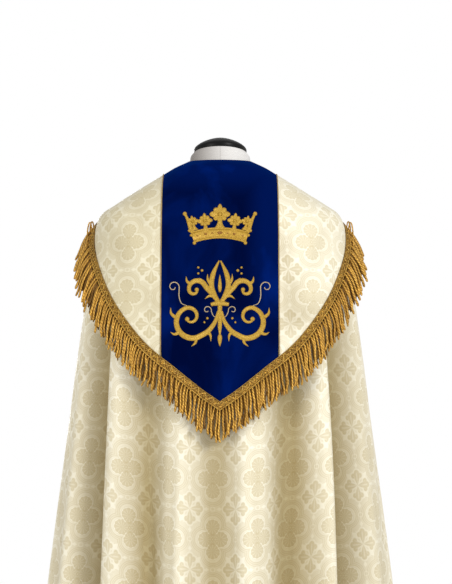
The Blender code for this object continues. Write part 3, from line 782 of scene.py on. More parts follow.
def damask(name, shift, stretch=(1.0, 1.0), painted_dimming=1.0):
    """The figured silk. shift moves the repeat over the cut piece, in metres, stretch makes it larger
    each way, and a last value under 1 darkens the whole piece as painted shade."""
    f = Finish(name, Specular_IOR_Level=0.30, Sheen_Weight=0.08, Sheen_Roughness=0.4)
    size = [1000.0 / share for share in stretch]
    uv = f.coordinates((*size, 1.0), uv="cut")
    uv.node.inputs["Location"].default_value = (-shift[0] * size[0], -shift[1] * size[1], 0.0)
    tone, across, along = damask_pattern(f, uv)
    worn = f.noise(f.coordinates(), 9.0, 3.0, 0.6)
    tone = f.times(tone, f.times_plus(worn, 0.7, 0.6))
    slub = f.noise(f.together(f.times(across, 0.16), f.times(along, 2.2)), 1.0, 2.0)
    mottle = f.noise(f.together(across, along), 0.45, 3.0, 0.65)
    uneven = f.plus(f.times_plus(slub, 0.5, -0.25), f.times_plus(mottle, 0.9, -0.45))
    shade = f.times_plus(f.plus(tone, uneven), 0.5, 0.5)
    ground = f.mix(shade, (0.690, 0.610, 0.410), (0.950, 0.920, 0.790))
    clouds = f.noise(f.coordinates(), 3.2, 2.0)
    ground = f.mix(f.times(clouds, 0.12), ground, (0.74, 0.64, 0.42))
    # Silk lies duller and warmer where it turns into a fold.
    # Painted shade: the colour is darkened and warmed deep in folds and creases, by the number each
    # point keeps.
    ground = f.mix(f.attribute("painted_shade"), ground, (0.45, 0.385, 0.245), "MULTIPLY")
    # Painted shade over the whole piece, where a value under 1 is given.
    f.to("Base Color", f.mix(1.0, ground, (painted_dimming, painted_dimming**1.15, painted_dimming**1.7), "MULTIPLY"))
    f.to("Roughness", f.times_plus(shade, -0.20, 0.62))
    warp = f.sine(f.times(across, 2 * math.pi / THREAD_PITCH))
    weft = f.sine(f.times(along, 2 * math.pi / THREAD_PITCH))
    threads = f.bump(f.plus(warp, weft), 0.10, 0.00012)
    f.to("Normal", f.bump(tone, 0.30, 0.00035, threads))
    return f.material


def lining_silk():
    """Plain sateen for the inside."""
    f = Finish("lining_sateen", Specular_IOR_Level=0.4)
    streaks = f.noise(f.coordinates((40.0, 40.0, 3.0)), 6.0, 3.0)
    f.to("Base Color", f.mix(streaks, (0.66, 0.58, 0.40), (0.76, 0.69, 0.50)))
    f.to("Roughness", f.times_plus(streaks, 0.15, 0.38))
    f.to("Normal", f.bump(streaks, 0.15, 0.0004))
    return f.material


body_damask = damask("damask_body", (-0.0155, -0.0147))
lining = lining_silk()
print("damask nodes:", len(body_damask.node_tree.nodes))

# %% [markdown]
# ## The cloak
# The cloak is sewn from five gores: the back, two sides and two fronts. Their seams lie at the
# bottom of deep folds, where they don't show. Each gore's cut is kept in a UV map in metres, counted
# along the cloth, so that the damask has the same scale on every fold.

# %% Five gores
Gore = namedtuple("Gore", "node start end crown")
GORES = [
    Gore("cope_front_left", -180.0, -128.0, -139.0),
    Gore("cope_side_left", -128.0, -65.5, -88.0),
    Gore("cope_back", -65.5, 63.0, 0.0),
    Gore("cope_side_right", 63.0, 131.0, 88.0),
    Gore("cope_front_right", 131.0, 180.0, 141.5),
]
COLUMN_STEP, ROW_STEP = 0.0075, 0.0125  # metres of cloth between the grid's columns and rows
MEASURED_RING = 13.0  # the columns are spaced evenly along the cloth here, low down
LEVEL_RING = 9.0  # the damask's rows are level here
LEVEL_RISE = 1.19 - 1.0254  # how high up the cut that level lies
SIDE_SHIFT = 0.3  # how far over the silk the cut of the side and front gores is moved


def even_places(values, run, step):
    """Values at even steps of the run that goes with them."""
    count = max(2, int(round(run[-1] / step)))
    return np.interp(np.linspace(0, run[-1], count + 1), run, values)


fine = np.linspace(0.0, LAST_RING, 1501)
down = drape(np.full(fine.shape, 18.0), fine)
ROWS = even_places(fine, run_along(down), ROW_STEP)
LEVEL_ROW = int(np.argmin(np.abs(ROWS - LEVEL_RING)))


def gore_sheet(gore):
    """One gore, with its area, the length of its hem and its drop from neck to hem."""
    end = float(front_edge(MEASURED_RING))
    angles = np.linspace(max(gore.start, -end), min(gore.end, end), 1601)
    low = drape(angles, np.full(angles.shape, MEASURED_RING))
    columns = even_places(angles, run_along(low), COLUMN_STEP)
    edge = front_edge(ROWS)[:, None]
    angle = np.clip(columns[None, :], -edge, edge)
    points = drape(angle, np.broadcast_to(ROWS[:, None], angle.shape))
    across, along = lengths(points, 1), lengths(points, 0)
    middle = int(np.argmin(np.abs(columns - gore.crown)))
    u = across - across[:, middle : middle + 1]
    if gore.node != "cope_back":
        u = u + math.copysign(SIDE_SHIFT, gore.crown)
    v = along[LEVEL_ROW] - along + LEVEL_RISE
    # Painted shade for each point, deep in the folds and creases.
    painted_shade = fold_painted_shade(angle, points[..., 2])
    name = gore.node.replace("cope", "cloth")
    piece = thicken(lay_sheet(name, points, np.stack((u, v), -1), (body_damask, lining), painted_shade))
    finished(piece, "damask", gore.node)
    return piece, area_of(points), across[-1, -1], along[-1, middle]


cloak = {}
for gore in GORES:
    piece, area, hem_length, drop = gore_sheet(gore)
    cloak[gore.node] = (piece, area, hem_length, drop)
    print(f"{counted(piece)}, {area:.3f} m2, hem {hem_length:.2f} m, drop {drop:.2f} m")

# %% [markdown]
# ## The hood
# The hood is a second, shorter sheet: a strip of velvet down the middle, with a shaped piece of
# damask on each side. Its lower edge is a table of heights round the wearer, straight down to a
# point at the back and level with the breast in front. It lies a few millimetres off the cloak.

# %% The hood's edge and seams
PANEL_HALF_WIDTH = 0.112
HOOD_REACH = 11.5  # the ring above which the hood's whole edge lies
HOOD_STEP = 0.006  # metres between the grid's columns along that edge
# The hood's lower edge: degrees from the middle of the back, and the edge's height there.
EDGE_ANGLES, EDGE_HEIGHTS = np.array([
    (0.0, 1.051), (10.0, 1.074), (24.0, 1.112), (40.0, 1.160), (55.0, 1.229), (70.0, 1.311),
    (80.0, 1.357), (90.0, 1.394), (110.0, 1.378), (135.0, 1.306), (160.0, 1.266), (180.0, 1.256),
]).T


def edge_height(angle):
    """The hood's lower edge, read smoothly from its table."""
    keys, heights = EDGE_ANGLES, EDGE_HEIGHTS
    last = len(keys) - 1
    low, high = np.maximum(np.arange(last + 1) - 1, 0), np.minimum(np.arange(last + 1) + 1, last)
    slopes = (heights[high] - heights[low]) / (keys[high] - keys[low])
    i = np.clip(np.searchsorted(keys, angle) - 1, 0, last - 1)
    width = keys[i + 1] - keys[i]
    t = (angle - keys[i]) / width
    lean = (t**3 - 2 * t**2 + t) * slopes[i] * width + (t**3 - t**2) * slopes[i + 1] * width
    return heights[i] + (heights[i + 1] - heights[i]) * smooth(t) + lean


def hood_point(angle, v, lift=0.0):
    """Points of the hood's outside, or of what lies lift above it."""
    angle, v = np.broadcast_arrays(np.asarray(angle, float), np.asarray(v, float))
    ease = NECK_EASE + (HOOD_EASE - NECK_EASE) * smooth(v / NECK_EASE_ROWS)
    lift = np.broadcast_to(np.asarray(lift, float), angle.shape)
    return drape(angle, v, False) + outward(angle, v, False) * (ease + CLOTH + lift)[..., None]


def hood_end(angle):
    """How many rings down the hood's edge is, at this angle."""
    wanted = edge_height(np.abs(angle))
    above = lambda v: hood_point(angle, v)[..., 2] - wanted
    return solve(above, np.full(angle.shape, 0.5), np.full(angle.shape, HOOD_REACH))


def seam_place(angle):
    """How many rings down the velvet's side seam is, at this angle."""
    reach = lambda v: PANEL_HALF_WIDTH - np.abs(hood_point(angle, v)[..., 0])
    return solve(reach, np.zeros(angle.shape), np.full(angle.shape, HOOD_REACH))


LEAST_ROOM = 0.012  # rings of damask between the velvet's seam and the hood's edge at its corners
scan = np.linspace(8.0, 174.0, 3321)
inside = scan[hood_end(scan) - seam_place(scan) > LEAST_ROOM]
BACK_CORNER, FRONT_CORNER = float(inside[0]), float(inside[-1])
print("damask side panels from", round(BACK_CORNER, 2), "to", round(FRONT_CORNER, 2), "degrees")

# %% [markdown]
# The hood is stiffened, so it has only very low relief: a few long soft swells, placed where a hood
# bends over the shoulder blades and beside its seams. The hollows between them are not relief but
# painted shade. They are given as places on the back, or on the breast, and the swells are added along
# the cloth's own direction.

# %% Relief of the hood
# Each swell: x and z of its middle, half width, half length, lean of its axis, height, and 1 for the
# back or -1 for the front.
Swell = namedtuple("Swell", "x z half_width half_length lean height side")
SWELLS = [
    Swell(-0.165, 1.345, 0.022, 0.090, -0.25, 0.0020, 1),
    Swell(-0.200, 1.290, 0.016, 0.070, -0.35, 0.0014, 1),
    Swell(-0.135, 1.245, 0.018, 0.060, -0.10, 0.0012, 1),
    Swell(0.172, 1.340, 0.024, 0.095, 0.30, 0.0026, 1),
    Swell(0.205, 1.300, 0.018, 0.075, 0.35, 0.0016, 1),
    Swell(0.128, 1.375, 0.014, 0.050, 0.10, 0.0012, 1),
    Swell(-0.060, 1.180, 0.030, 0.080, 0.15, 0.0012, 1),
    Swell(0.058, 1.200, 0.028, 0.090, -0.10, 0.0014, 1),
    Swell(0.010, 1.115, 0.022, 0.050, 0.00, 0.0008, 1),
    Swell(-0.085, 1.440, 0.024, 0.050, 0.20, 0.0010, 1),
    Swell(0.085, 1.430, 0.022, 0.050, -0.20, 0.0010, 1),
    Swell(-0.160, 1.350, 0.020, 0.060, -0.30, 0.0020, -1),
    Swell(0.165, 1.345, 0.022, 0.060, 0.35, 0.0022, -1),
    Swell(-0.090, 1.330, 0.016, 0.050, -0.10, 0.0012, -1),
    Swell(0.085, 1.325, 0.018, 0.050, 0.15, 0.0012, -1),
]
# The hollows between them are painted shade. They are given in the same way, with how much the silk's
# colour is darkened there in place of a height.
PAINTED_SHADE_PLACES = [
    Swell(0.122, 1.335, 0.016, 0.045, 0.05, 0.34, 1),
    Swell(0.136, 1.250, 0.022, 0.050, 0.20, 0.42, 1),
    Swell(0.160, 1.212, 0.030, 0.028, 0.60, 0.30, 1),
    Swell(0.142, 1.205, 0.040, 0.030, 0.50, 0.24, 1),
    Swell(0.128, 1.290, 0.018, 0.050, 0.0, 0.14, 1),
    Swell(-0.128, 1.235, 0.016, 0.045, -0.15, 0.22, 1),
    Swell(-0.196, 1.330, 0.016, 0.060, -0.30, 0.20, 1),
    Swell(-0.150, 1.400, 0.014, 0.040, -0.40, 0.14, 1),
    Swell(0.190, 1.345, 0.010, 0.055, 0.30, 0.10, 1),
    Swell(-0.130, 1.345, 0.014, 0.040, 0.0, 0.22, -1),
    Swell(0.135, 1.340, 0.016, 0.045, 0.1, 0.26, -1),
]


def over_places(points, table):
    """The sum of a table's soft places at these points."""
    x, y, z = np.moveaxis(points, -1, 0)
    total = np.zeros(x.shape)
    for s in table:
        off = x - s.x - s.lean * (z - s.z)
        blob = np.exp(-((off / s.half_width) ** 2) - ((z - s.z) / s.half_length) ** 2)
        total += s.height * blob * smooth(-s.side * y / 0.03)
    return total


def hood_relief(points):
    return over_places(points, SWELLS)


def hood_sheet_points(angles, top, bottom, rows):
    """Rows of points from the ring top to the ring bottom, given for each angle."""
    share = np.linspace(0.0, 1.0, rows + 1)[:, None]
    v = top[None, :] + (bottom - top)[None, :] * share
    edge = front_edge(v)
    angle = np.clip(np.broadcast_to(angles, v.shape), -edge, edge)
    return hood_point(angle, v, hood_relief(hood_point(angle, v)))


def hood_columns(low, high, step):
    """Angles from low to high that lie evenly along the hood's edge."""
    angles = np.linspace(low, high, 1201)
    end = np.minimum(hood_end(angles), HOOD_REACH)
    edge = front_edge(end)
    points = hood_point(np.clip(angles, -edge, edge), end)
    return even_places(angles, run_along(points), step)


print("swells:", len(SWELLS), " hollows:", len(PAINTED_SHADE_PLACES))

# %% [markdown]
# ## Velvet
# Velvet is a forest of short upright threads. Seen straight on it swallows light, and at a grazing
# angle the tips catch it, which is what the sheen of the shader does. Pile is never brushed quite
# evenly, so soft clouds of a lighter blue lie over it, longer than they are wide.

# %% Blue velvet
def velvet():
    f = Finish("blue_velvet", Specular_IOR_Level=0.0, Sheen_Weight=0.11, Sheen_Roughness=0.35)
    f.shader.inputs["Sheen Tint"].default_value = (0.02, 0.20, 1.0, 1.0)
    clouds = f.noise(f.coordinates((1.0, 1.0, 0.62)), 7.0, 4.0, 0.55, 0.5)
    brushed = f.step(clouds, 0.41, 0.72)
    streak = f.step(f.noise(f.coordinates((1.0, 1.0, 0.14)), 26.0, 3.0, 0.6, 0.3), 0.48, 0.80)
    share = f.most(brushed, f.times(streak, 0.30))
    x, _, z = f.apart(f.coordinates())
    share = f.most(share, f.times(f.step(z, 1.425, 1.495), 0.50))  # painted highlight: the pile is lighter towards the neck
    turned = f.times(f.step(x, 0.035, 0.090), f.step(z, 1.200, 1.300))
    share = f.most(share, f.times(turned, 0.46))  # painted sheen: the pile is lighter in a patch by this seam
    colour = f.mix(share, (0.0001, 0.0026, 0.0310), (0.0002, 0.0135, 0.1520))
    pile = f.noise(f.coordinates(), 1500.0, 2.0, 0.7)
    f.to("Base Color", f.mix(f.times(pile, 0.5), colour, (0.0001, 0.0018, 0.0250)))
    f.to("Roughness", f.times_plus(pile, 0.2, 0.72))
    lay = f.bump(clouds, 0.25, 0.004)
    f.to("Normal", f.bump(pile, 0.35, 0.0004, lay))
    return f.material


blue_velvet = velvet()
print("velvet nodes:", len(blue_velvet.node_tree.nodes))

# %% [markdown]
# The panel runs from the point of the hood up to the neck and round it to the breast, so its grid goes
# nearly all the way round the wearer. Its columns start at the neck and end at the side seams, or at
# the hood's edge between them. Its flat map is counted along the rows and columns.

# %% The velvet panel
VELVET_ROWS = 84
angles = hood_columns(-179.0, 179.0, HOOD_STEP)
bottom = np.minimum(seam_place(angles), hood_end(angles))
points = hood_sheet_points(angles, np.zeros(angles.shape), bottom, VELVET_ROWS)
velvet_area = area_of(points)
cut = np.stack((lengths(points, 1), -lengths(points, 0)), -1)
hood_velvet = thicken(lay_sheet("hood_velvet", points, cut, (blue_velvet, lining)))
finished(hood_velvet, "velvet", "hood_panel_velvet")
print(f"{counted(hood_velvet)}, {velvet_area:.4f} m2")

# %% [markdown]
# The side panels bend over the shoulder in two directions, so lengths along rows no longer say how
# their flat cut lies. Blender's unwrap flattens such a piece with little stretching. The flat shape
# is then turned and scaled until it is upright and in metres over the shoulder blade.

# %% Damask sides of the hood
PATCH = 0.06  # metres round the shoulder blade over which the map is set upright


def flatten(sheet, foot):
    """Unwraps a single sheet, then turns and scales the map to metres, upright round foot."""
    only(sheet)
    sheet.data.uv_layers.new(name="cut")
    bpy.ops.object.mode_set(mode="EDIT")
    bpy.ops.mesh.select_all(action="SELECT")
    bpy.ops.uv.unwrap(method="CONFORMAL", margin=0.0)
    bpy.ops.object.mode_set(mode="OBJECT")
    corners, place = corner_points(sheet.data), vertex_places(sheet.data)
    uv = np.empty(len(corners) * 2)
    layer = sheet.data.uv_layers["cut"]
    layer.data.foreach_get("uv", uv)
    uv = uv.reshape(-1, 2)
    at_vertex = np.zeros((len(place), 2))
    at_vertex[corners] = uv

    # Places on the map and places as seen from behind are taken as complex numbers, so that one
    # number, turn, says how the patch round foot has to be turned.
    near = np.linalg.norm(place - foot, axis=1) < PATCH
    flat = at_vertex[near] @ [1, 1j]
    seen = place[near][:, [0, 2]] @ [1, 1j]
    seen_off = seen - seen.mean()
    turn = np.vdot(flat - flat.mean(), seen_off)
    best = np.sqrt((abs(flat - flat.mean()) ** 2).sum() * (abs(seen_off) ** 2).sum())
    if abs(turn) < 0.5 * best:  # the map came out mirrored
        uv[:, 0] *= -1
        flat = -np.conj(flat)
        turn = np.vdot(flat - flat.mean(), seen_off)

    # Its edges there give the scale.
    edges = np.array([e.vertices[:] for e in sheet.data.edges])
    start, end = edges[near[edges].all(axis=1)].T
    real = np.linalg.norm(place[start] - place[end], axis=1).sum()
    mapped = np.linalg.norm(at_vertex[start] - at_vertex[end], axis=1).sum()
    turned = (uv @ [1, 1j] - flat.mean()) * (turn / abs(turn)) * (real / mapped) + seen.mean()
    layer.data.foreach_set("uv", np.stack((turned.real, turned.imag), -1).ravel())


SIDE_ROWS = 34
HOOD_STRETCH = (1.12, 0.94)  # the panels are cut from silk whose repeat is a little broader and lower
# The left panel is darkened with painted shade, and the right one only a little.
for side, word, painted_dimming in ((-1, "left", 0.84), (1, "right", 0.99)):
    columns = hood_columns(BACK_CORNER, FRONT_CORNER, HOOD_STEP)
    angles = columns if side > 0 else -columns[::-1]
    points = hood_sheet_points(angles, seam_place(angles), hood_end(angles), SIDE_ROWS)
    finish = damask("damask_hood_" + word, (side * 0.177, 1.3515), HOOD_STRETCH, painted_dimming)
    # Painted shade of the hood's hollows, by which its colour is darkened.
    painted_shade = over_places(points, PAINTED_SHADE_PLACES)
    sheet = lay_sheet("hood_damask_" + word, points, None, (finish, lining), painted_shade)
    flatten(sheet, np.array((side * 0.172, -0.14, 1.30)))
    finished(thicken(sheet), "damask", "hood_panel_" + word)
    print(f"{counted(sheet)}, {area_of(points):.4f} m2")

# %% [markdown]
# ## Cords and twist
# Bullion, piping and braid are all cord: two threads twisted round each other. On a cord a few
# millimetres thick, the twist reads as slanting grooves. The tubes below carry a UV map that goes
# once round in u, and along in metres in v, and the finish draws the grooves on that map. Each tube's
# u starts at its own whole number, from which the finish makes some strands duller than others. That
# keeps each strand to a few dozen faces, however many strands there are.

# %% Tubes that follow paths
def drawn(name, places, faces, layer, corners, material):
    """A piece from its points and faces. The UV map named layer gives each face's corners in turn."""
    mesh = bpy.data.meshes.new(name)
    mesh.from_pydata(places, [], faces)
    mesh.update()
    mesh.uv_layers.new(name=layer).data.foreach_set("uv", np.array(corners, float).ravel())
    mesh.materials.append(material)
    piece = bpy.data.objects.new(name, mesh)
    bpy.context.scene.collection.objects.link(piece)
    return piece


def tubes(name, paths, sides, material):
    """One mesh of tubes. Each path is (points, radii), and a face closes each end."""
    places, faces, corners = [], [], []
    start = 0
    for number, (points, radii) in enumerate(paths):
        points, radii = np.asarray(points, float), np.asarray(radii, float)
        count = len(points)
        ahead = unit(np.gradient(points, axis=0))
        helper = np.array([0.0, 0.0, 1.0]) if abs(ahead[0, 2]) < 0.8 else np.array([1.0, 0.0, 0.0])
        across = unit(np.cross(ahead[0], helper))
        run = run_along(points) + 0.0137 * len(places) % 0.1  # no two neighbours' grooves line up
        turn = np.arange(sides) * 2 * np.pi / sides
        for i in range(count):
            across = unit(across - ahead[i] * (across @ ahead[i]))
            beside = np.cross(ahead[i], across)
            ring = np.outer(np.cos(turn), across) + np.outer(np.sin(turn), beside)
            places.append(points[i] + ring * radii[i])
        for i in range(count - 1):
            low, high = start + i * sides, start + (i + 1) * sides
            for k in range(sides):
                j = (k + 1) % sides
                here, there = number + k / sides, number + (k + 1) / sides
                faces.append((low + k, low + j, high + j, high + k))
                corners += [(here, run[i]), (there, run[i]), (there, run[i + 1]), (here, run[i + 1])]
        for ring, order in ((0, range(sides)[::-1]), (count - 1, range(sides))):
            faces.append(tuple(start + ring * sides + k for k in order))
            corners += [(number + k / sides, run[ring]) for k in order]
        start += count * sides
    piece = drawn(name, np.concatenate(places).tolist(), faces, "twist", corners, material)
    piece.data.shade_smooth()
    return piece


print("a tube of 13 rings with 6 sides has", 12 * 6 + 2, "faces")

# %% [markdown]
# The finish of a cord draws its two plies: grooves that slant round it, darkened as painted shade, with
# the plies lighter as painted highlight, finer threads across them, a tint that comes and goes, and
# small painted glints of colour where metal thread would catch the light.

# %% Twisted thread

def twisted(name, bright, dark, lay, metal, rough):
    """Cord of two plies. lay is how far along the cord one groove goes in half a turn, in metres."""
    f = Finish(name, Metallic=metal, Specular_IOR_Level=0.5)
    u, v, _ = f.apart(f.coordinates(uv="twist"))
    phase = f.plus(f.times(u, 2.0), f.math("DIVIDE", v, lay))
    groove = f.size(f.sine(f.times(phase, math.pi)))
    thread = f.sine(f.times(f.minus(f.times(u, 5.0), f.math("DIVIDE", v, lay * 0.5)), 2 * math.pi))
    tint = f.noise(f.coordinates(), 95.0, 3.0, 0.6)
    height = f.plus(f.math("POWER", groove, 0.6), f.times(thread, 0.10))
    # Painted shade in the grooves and painted highlight on the plies.
    body = f.mix(f.step(groove, 0.05, 0.75), dark, bright)
    own = f.math("FRACT", f.times(f.sine(f.times(f.math("FLOOR", u), 12.99)), 437.6))
    body = f.mix(f.times(own, 0.55), body, dark)
    # Painted glints: small lighter flecks of colour that stand in for highlights.
    painted_glint = f.step(f.noise(f.coordinates(), 520.0, 2.0, 0.6), 0.56, 0.74)
    body = f.mix(f.times(painted_glint, 0.45), body, tuple(min(c * 1.5, 0.95) for c in bright))
    f.to("Base Color", f.mix(f.times(f.step(tint, 0.35, 0.75), 0.60), body, dark))
    f.to("Roughness", f.times_plus(tint, 0.2, rough - 0.1))
    f.to("Normal", f.bump(height, 0.8, 0.0009))
    return f.material


bullion = twisted("bullion_thread", (0.800, 0.455, 0.074), (0.300, 0.140, 0.016), 0.0066, 0.45, 0.38)
# A darker copy of the bullion, painted shade, for the back row of strands and the tape behind them.
painted_shade_bullion = twisted(
    "bullion_shade", (0.330, 0.165, 0.022), (0.110, 0.046, 0.004), 0.0066, 0.35, 0.50
)
braid = twisted("braid_thread", (0.920, 0.580, 0.130), (0.200, 0.090, 0.010), 0.0030, 0.55, 0.34)
print("cord finishes:", bullion.name, braid.name)

# %% [markdown]
# ## The fringe's heading
# The fringe hangs from a heading, a narrow band that is sewn along the hood's edge. The band's line
# is laid out first: even stations along the edge, with the direction away from the hood at each
# one, and a mitre at the point. Over the shoulders its lower side stands off the cloak.

# %% Stations along the hood's edge
BAND_WIDTH, BAND_THICKNESS, BAND_FLARE = 0.0160, 0.003, 0.005
SEAM_GAP = 0.0003
STATION = 0.0025  # metres from one station to the next


def shoulder_share(sideways):
    """0 on the back and the breast, 1 where the cloth faces sideways."""
    return smooth((np.abs(sideways) - 0.66) / 0.32)


dense = np.concatenate((np.linspace(-179.9, 0.0, 4001), np.linspace(0.0, 179.9, 4001)[1:]))
dense_end = hood_end(dense)
dense = np.clip(dense, -front_edge(dense_end), front_edge(dense_end))
dense, kept = np.unique(dense, return_index=True)
dense_end = dense_end[kept]
edge_line = hood_point(dense, dense_end)
edge_run = run_along(edge_line)
half_run = float(np.interp(0.0, dense, edge_run))  # the point of the hood gets a station of its own
left_run = np.linspace(0, half_run, round(half_run / STATION) + 1)
right_run = np.linspace(half_run, edge_run[-1], round((edge_run[-1] - half_run) / STATION) + 1)
run = np.concatenate((left_run, right_run[1:]))
station_angle = np.interp(run, edge_run, dense)
station_end = np.interp(run, edge_run, dense_end)
edge = hood_point(station_angle, station_end)
edge_normal = outward(station_angle, station_end, False)
ahead = unit(np.diff(edge, axis=0))
before, after = np.vstack((ahead[:1], ahead)), np.vstack((ahead, ahead[-1:]))
along_edge = unit(before + after)
mitre = 1.0 / np.maximum((along_edge * after).sum(axis=1), 0.5)
away = -unit(np.cross(edge_normal, along_edge)) * mitre[:, None]
flare = BAND_FLARE * shoulder_share(edge_normal[:, 0])
print("edge of the hood:", round(float(edge_run[-1]), 3), "m, stations:", len(run))


def band_place(across, lift, index=None):
    """Points on the heading: across from 0 at the hood to 1 at its lower side, lift above its face."""
    pick = slice(None) if index is None else index
    reach = SEAM_GAP + (BAND_WIDTH - SEAM_GAP) * across
    rise = BAND_THICKNESS - CLOTH + lift + flare[pick] * across**1.3
    return edge[pick] + away[pick] * reach[..., None] + edge_normal[pick] * rise[..., None]


def band_line(across, lift):
    """One even line along the whole heading."""
    return band_place(np.full(len(run), across), np.full(len(run), lift))


# %% [markdown]
# The heading itself is a crowned strip of gimp, a ground of tiny dark loops. Over it two gold cords
# swing from side to side across each other, as such a braid is made, a fine cord finishes its upper
# edge and a stout one its lower edge, where the strands are looped on. A dark tape behind their roots,
# a sheet of painted shade, fills the gaps between them.

# %% Gimp and braid
def gimp():
    f = Finish("gimp_ground", Metallic=0.45, Specular_IOR_Level=0.5)
    grains = f.cells(f.coordinates(), 330.0)
    tint = f.noise(f.coordinates(), 160.0, 3.0, 0.7)
    body = f.mix(f.step(grains, 0.26, 0.72), (0.800, 0.455, 0.068), (0.232, 0.102, 0.011))
    f.to("Base Color", f.mix(f.times(f.step(tint, 0.42, 0.66), 0.75), body, (0.110, 0.048, 0.006)))
    f.to("Roughness", f.times_plus(grains, 0.25, 0.34))
    f.to("Normal", f.bump(f.minus(1.0, grains), 0.9, 0.0022))
    return f.material


HEADING_WALL = 0.0022
profile = np.linspace(0.0, 1.0, 9)
crown = 0.0008 * np.sin(np.pi * profile) - 0.0006
band_rows = np.stack([band_line(across, lift) for across, lift in zip(profile, crown)])
fringe_heading = lay_sheet("fringe_heading", band_rows, None, (gimp(),))
thicken(fringe_heading, HEADING_WALL, 0)
finished(fringe_heading, "bullion", "hood_fringe")
print(counted(fringe_heading))

# %% [markdown]
# The braid's cords bend more closely than the heading has stations, so each of their points is found
# between two stations. They are tubes of five sides, because such a cord is only about 2 mm thick.

# %% The braid on the heading
WEAVE_PERIOD, WEAVE_STEP = 0.0165, 0.0016
SWING_RADIUS = 0.00095
EDGE_CORDS = ((0.03, 0.00085), (0.86, 0.00125))  # each: how far across the heading, and its radius
EDGE_CORD_LIFT = 0.0009
TAPE_PLACES, TAPE_LIFT, TAPE_WALL = (0.60, 0.85, 1.10, 1.35, 1.60), -0.0030, 0.0010
weave_run = np.linspace(0.0, edge_run[-1], int(edge_run[-1] / WEAVE_STEP))
even = np.ones(len(weave_run))
share_index = np.interp(weave_run, run, np.arange(len(run)))
low_index = np.clip(share_index.astype(int), 0, len(run) - 2)
part = (share_index - low_index)[:, None]


def along_band(across, lift):
    """band_place between the stations, for the fine steps of the cords."""
    first = band_place(across, lift, low_index)
    second = band_place(across, lift, low_index + 1)
    return first + (second - first) * part


weave_paths = []
for k in range(2):
    phase = 2 * np.pi * (weave_run / WEAVE_PERIOD + k / 2)
    swing = 0.42 + 0.30 * np.sin(phase)
    over = 0.0008 + 0.0008 * np.cos(2 * phase)
    weave_paths.append((along_band(swing, over), even * SWING_RADIUS))
for across, radius in EDGE_CORDS:
    weave_paths.append((along_band(even * across, even * EDGE_CORD_LIFT), even * radius))
fringe_braid = finished(tubes("fringe_braid", weave_paths, 5, braid), "bullion")
# A dark sheet of painted shade behind the strands' roots.
tape_rows = np.stack([band_line(across, TAPE_LIFT) for across in TAPE_PLACES])
fringe_painted_shade = thicken(lay_sheet("fringe_painted_shade", tape_rows, None, (painted_shade_bullion,)), TAPE_WALL, 0)
finished(fringe_painted_shade, "bullion")
print(counted(fringe_braid), counted(fringe_painted_shade), sep=", ")

# %% [markdown]
# ## The strands
# A bullion strand is a cord doubled back and twisted, so its end is round. The strands hang in two
# rows: a dull one behind, coloured darker as painted shade, which fills the gaps, and a bright one in
# front, looped over the heading's stout cord. Each strand has its own length, sway and curl, from a
# seeded generator, so the fringe is the same on every run. Over the shoulders they spring outwards
# before they fall.

# %% Hanging strands
STRAND_LENGTH = 0.061
STRAND_STEP = 0.0068  # metres from one bright strand to the next
UNDER_STEP = 0.55  # the dull ones stand closer, by this share
CLOAK_SLOPE = 0.16  # how far the cloak under them runs outwards for each metre down
ON_SHOULDER = 0.45  # from this shoulder_share on, every third bright strand is left out
# For the dull row and the bright one: length as a share, how far the strands spring out over the
# shoulders, and their radius.
ROW_LENGTH, ROW_SPREAD, ROW_RADIUS = (0.93, 1.0), (0.0090, 0.0140), (0.00175, 0.00210)
# Places down a strand, as shares of its length, and its thickness there.
DOWN_STRAND = np.array([0.03, 0.12, 0.24, 0.36, 0.48, 0.60, 0.72, 0.84, 0.94, 0.99, 1.0])
STRAND_SHAPE = np.array([0.80, 0.95, 1.0, 1.0, 0.97, 1.0, 1.03, 1.06, 1.05, 0.72, 0.30])
# The fringe was not cut level: places across the back, and how long it is there for its length.
LENGTH_PLACES = (-0.26, -0.20, -0.15, -0.09, -0.05, 0.0, 0.04, 0.09, 0.15, 0.26)
LENGTH_SHARES = (1.02, 0.95, 0.84, 0.84, 0.90, 0.91, 0.90, 0.92, 0.98, 1.02)
generator = np.random.default_rng(11)
lower_side, looped_side = band_line(1.0, 0.0), band_line(0.70, 0.0006)
lower_run = run_along(lower_side)


def at_root(where, values):
    """What these values, one row for each station, are this far along the heading's lower side."""
    return np.array([np.interp(where, lower_run, values[:, k]) for k in range(3)])


def level_outwards(place):
    """The level direction away from the wearer, whose shoulders are 1.5 times as wide as deep."""
    return unit(np.array([place[0] / 1.5, place[1], 0.0]))


